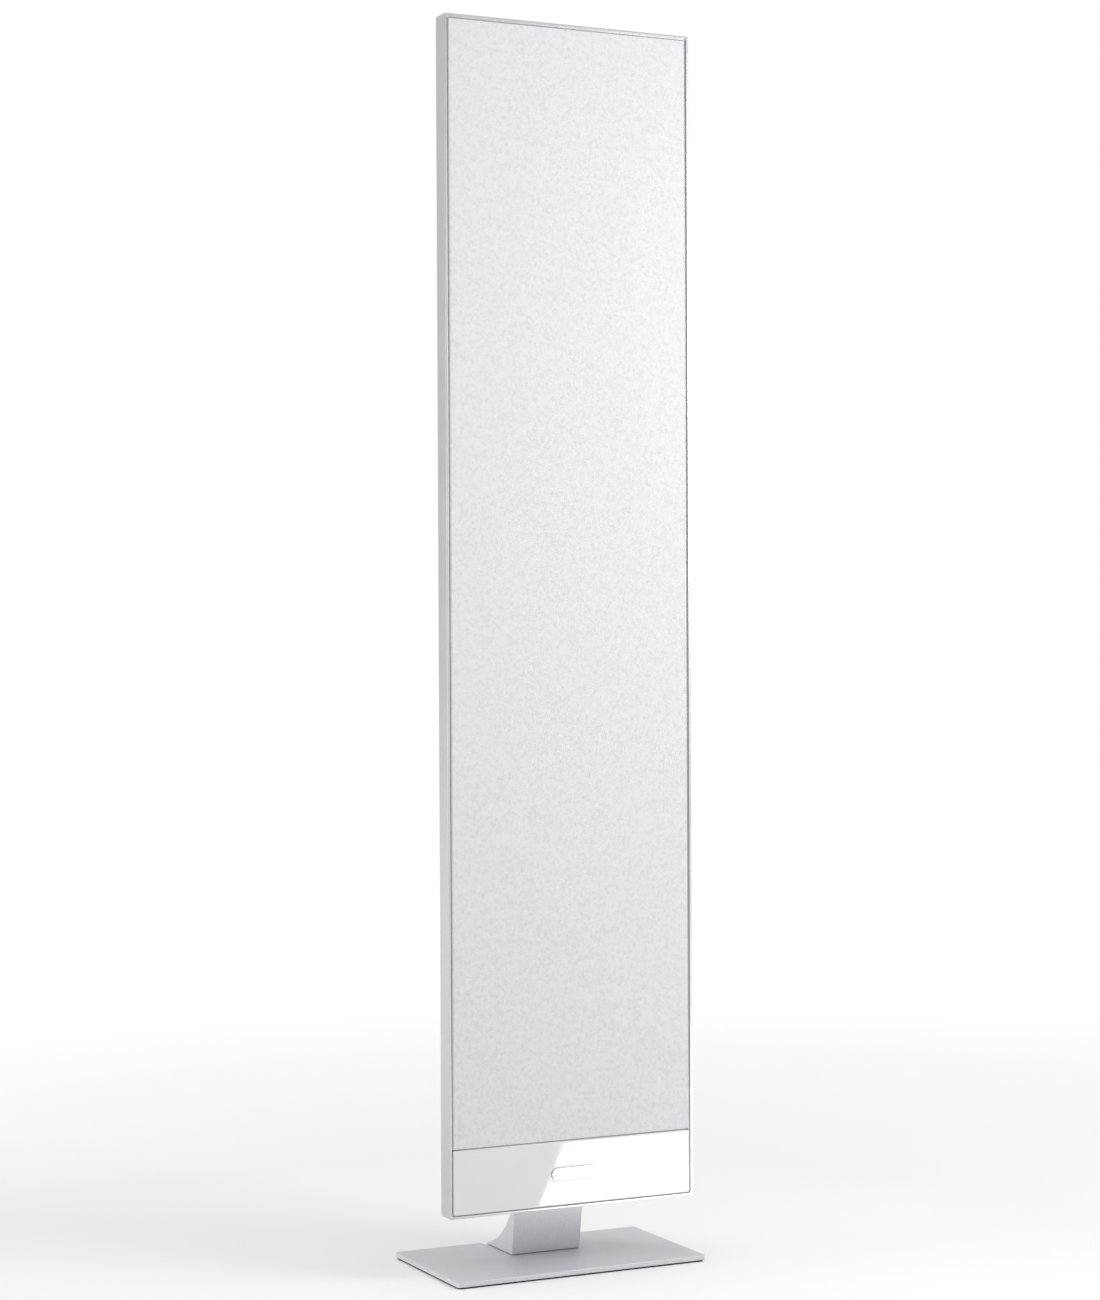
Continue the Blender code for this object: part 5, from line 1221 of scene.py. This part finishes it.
def make_camera(setting):
    """The camera at its angles round the object, at a distance from the point that it looks at."""
    low, high = CAD_BOX
    aim = (low + high) / 2 + Vector(setting.aim)
    a, e = setting.azimuth, setting.elevation
    back = Vector((math.sin(a) * math.cos(e), -math.cos(a) * math.cos(e), math.sin(e)))
    data = bpy.data.cameras.new("camera")
    data.lens = setting.focal_length
    camera = link(bpy.data.objects.new("camera", data))
    camera.rotation_mode = "QUATERNION"
    camera.location = aim + back * setting.distance
    camera.rotation_quaternion = (-back).to_track_quat("-Z", "Y") @ Quaternion((0, 0, 1), setting.roll)
    bpy.context.scene.camera = camera


def area_light(name, place, target, size, power, **visibility):
    data = bpy.data.lights.new(name, "AREA")
    data.shape = "RECTANGLE"
    data.size, data.size_y = size
    data.energy = power
    light = link(bpy.data.objects.new(name, data))
    light.location = place
    light.rotation_mode = "QUATERNION"
    light.rotation_quaternion = (Vector(target) - Vector(place)).to_track_quat("-Z", "Y")
    for ray, seen in visibility.items():
        setattr(light, ray, seen)
    return light


CARD_EDGE = ((0.017, -0.115), (0.190, -0.410))      # the card's edge on the floor that gloss mirrors


def make_lights(setting):
    """Soft lights at the front right, the left and overhead, and a card that only gloss mirrors."""
    area_light("key", (0.33, -0.39, 0.5), (0.06, -0.03, 0.44), (0.25, 0.3), setting.key)
    area_light("side", (-1.4, 0.25, 0.4), (0.0, 0.0, 0.33), (0.8, 0.8), setting.side)
    area_light("top", (0.0, 0.0, 1.6), (0.0, 0.0, 0.0), (0.8, 0.8), setting.top)
    start, end = (Vector((*spot, 0.004)) for spot in CARD_EDGE)
    along = (end - start).normalized()
    across = along.cross(Vector((0.0, 0.0, -1.0)))
    place = (start + end) / 2 + across * setting.card_size[0] / 2
    card = area_light("card", place, place + Vector((0, 0, 1)), setting.card_size, setting.card,
                      visible_camera=False, visible_diffuse=False, visible_transmission=False)
    card.rotation_quaternion = Matrix((across, along, (0, 0, -1))).transposed().to_quaternion()
    world = bpy.data.worlds.new("room")
    bpy.context.scene.world = world
    world.use_nodes = True
    tree = world.node_tree
    tree.nodes.clear()
    white = (1.0, 1.0, 1.0, 1.0)
    light = node(tree, "ShaderNodeBackground", {"Color": white, "Strength": setting.room})
    seen = node(tree, "ShaderNodeBackground", {"Color": white, "Strength": 1.0})
    path = node(tree, "ShaderNodeLightPath")
    mix = node(tree, "ShaderNodeMixShader", {0: path.outputs["Is Camera Ray"], 1: light.outputs[0],
                                             2: seen.outputs[0]})
    node(tree, "ShaderNodeOutputWorld", {"Surface": mix.outputs[0]})


def make_floor(setting):
    """A pale floor that glows a little, and more so far away, where it meets the room's white."""
    reach = 4.0
    mesh = bpy.data.meshes.new("floor")
    mesh.from_pydata([(-reach, -reach, 0), (reach, -reach, 0), (reach, reach, 0), (-reach, reach, 0)], [],
                     [(0, 1, 2, 3)])
    floor = link(bpy.data.objects.new("floor", mesh))
    look = Finish("matt_floor", setting.floor, 0.9, Emission_Color=(1.0, 1.0, 1.0, 1.0))
    look.tint(look.noise(0.4), 0.995)
    away = look.add("ShaderNodeVectorMath", {0: look.place}, operation="LENGTH").outputs["Value"]
    look.set("Emission Strength", look.range(away, 0.03, 0.4, 0.3, 1.3))
    mesh.materials.append(look.material)


# ---- Operators -----------------------------------------------------------------------------------

class LOUDSPEAKER_OT_stage(bpy.types.Operator):
    """Set the camera, the soft light and the pale floor"""
    bl_idname = "loudspeaker.stage"
    bl_label = "Stage"

    def execute(self, context):
        settings = context.scene.loudspeaker
        context.scene.view_settings.view_transform = "Standard"
        make_camera(settings.stage)
        make_lights(settings.stage)
        make_floor(settings.stage)
        return {"FINISHED"}


class LOUDSPEAKER_OT_frame(bpy.types.Operator):
    """Make the extruded frame, the gloss panel and the badge"""
    bl_idname = "loudspeaker.frame"
    bl_label = "Frame and gloss panel"

    def execute(self, context):
        settings = context.scene.loudspeaker
        make_outer_frame(settings.cabinet)
        make_fascia(settings.cabinet)
        return {"FINISHED"}


class LOUDSPEAKER_OT_grille(bpy.types.Operator):
    """Make the grille's frame and stretch its cloth over it"""
    bl_idname = "loudspeaker.grille"
    bl_label = "Grille"

    def execute(self, context):
        settings = context.scene.loudspeaker
        make_cloth(settings.cabinet)
        make_grille_frame(settings.cabinet)
        return {"FINISHED"}


class LOUDSPEAKER_OT_stand(bpy.types.Operator):
    """Make the base plate and the neck"""
    bl_idname = "loudspeaker.stand"
    bl_label = "Stand"

    def execute(self, context):
        settings = context.scene.loudspeaker
        make_plate(settings.stand)
        make_neck(settings.stand)
        return {"FINISHED"}


class LOUDSPEAKER_OT_shell(bpy.types.Operator):
    """Make the baffle and the rear cover"""
    bl_idname = "loudspeaker.shell"
    bl_label = "Baffle and rear cover"

    def execute(self, context):
        settings = context.scene.loudspeaker
        make_baffle(settings.cabinet)
        make_rear_cover(settings.cover)
        return {"FINISHED"}


class LOUDSPEAKER_OT_woofers(bpy.types.Operator):
    """Make both woofers, from basket to yoke"""
    bl_idname = "loudspeaker.woofers"
    bl_label = "Woofers"

    def execute(self, context):
        settings = context.scene.loudspeaker
        for name in DRIVERS:
            for maker in (make_basket, make_surround, make_cone, make_spider, make_motor):
                maker(name, settings.drivers)
        return {"FINISHED"}


class LOUDSPEAKER_OT_tweeter(bpy.types.Operator):
    """Make the tweeter"""
    bl_idname = "loudspeaker.tweeter"
    bl_label = "Tweeter"

    def execute(self, context):
        settings = context.scene.loudspeaker
        make_tweeter(settings.drivers)
        return {"FINISHED"}


class LOUDSPEAKER_OT_crossover(bpy.types.Operator):
    """Make the crossover board and what is on it"""
    bl_idname = "loudspeaker.crossover"
    bl_label = "Crossover"

    def execute(self, context):
        make_crossover()
        return {"FINISHED"}


class LOUDSPEAKER_OT_terminals(bpy.types.Operator):
    """Make the terminal cup and its two levers"""
    bl_idname = "loudspeaker.terminals"
    bl_label = "Terminals"

    def execute(self, context):
        make_terminals()
        return {"FINISHED"}


class LOUDSPEAKER_OT_screws(bpy.types.Operator):
    """Make every screw, one piece for each family"""
    bl_idname = "loudspeaker.screws"
    bl_label = "Screws"

    def execute(self, context):
        for name, family in SCREWS.items():
            screws(name, *family)
        return {"FINISHED"}


OPERATORS = (LOUDSPEAKER_OT_stage, LOUDSPEAKER_OT_frame, LOUDSPEAKER_OT_grille, LOUDSPEAKER_OT_stand,
             LOUDSPEAKER_OT_shell, LOUDSPEAKER_OT_woofers, LOUDSPEAKER_OT_tweeter, LOUDSPEAKER_OT_crossover,
             LOUDSPEAKER_OT_terminals, LOUDSPEAKER_OT_screws)


class LOUDSPEAKER_PT_panel(bpy.types.Panel):
    """The loudspeaker's operators and settings in the 3D view's sidebar"""
    bl_label = "Loudspeaker"
    bl_idname = "LOUDSPEAKER_PT_panel"
    bl_space_type = "VIEW_3D"
    bl_region_type = "UI"
    bl_category = "Loudspeaker"

    def draw(self, context):
        settings = context.scene.loudspeaker
        for operator in OPERATORS:
            self.layout.operator(operator.bl_idname)
        for name, group in GROUPS.items():
            box = self.layout.box()
            box.label(text=name.capitalize())
            for key in group.__annotations__:
                box.prop(getattr(settings, name), key)


CLASSES = (*GROUPS.values(), LoudspeakerSettings, *OPERATORS, LOUDSPEAKER_PT_panel)


def register():
    for cls in CLASSES:
        bpy.utils.register_class(cls)
    bpy.types.Scene.loudspeaker = PointerProperty(type=LoudspeakerSettings)


def unregister():
    del bpy.types.Scene.loudspeaker
    for cls in reversed(CLASSES):
        bpy.utils.unregister_class(cls)


def main():
    register()
    for operator in OPERATORS:
        group, name = operator.bl_idname.split(".")
        getattr(getattr(bpy.ops, group), name)()


if __name__ == "__main__":
    main()
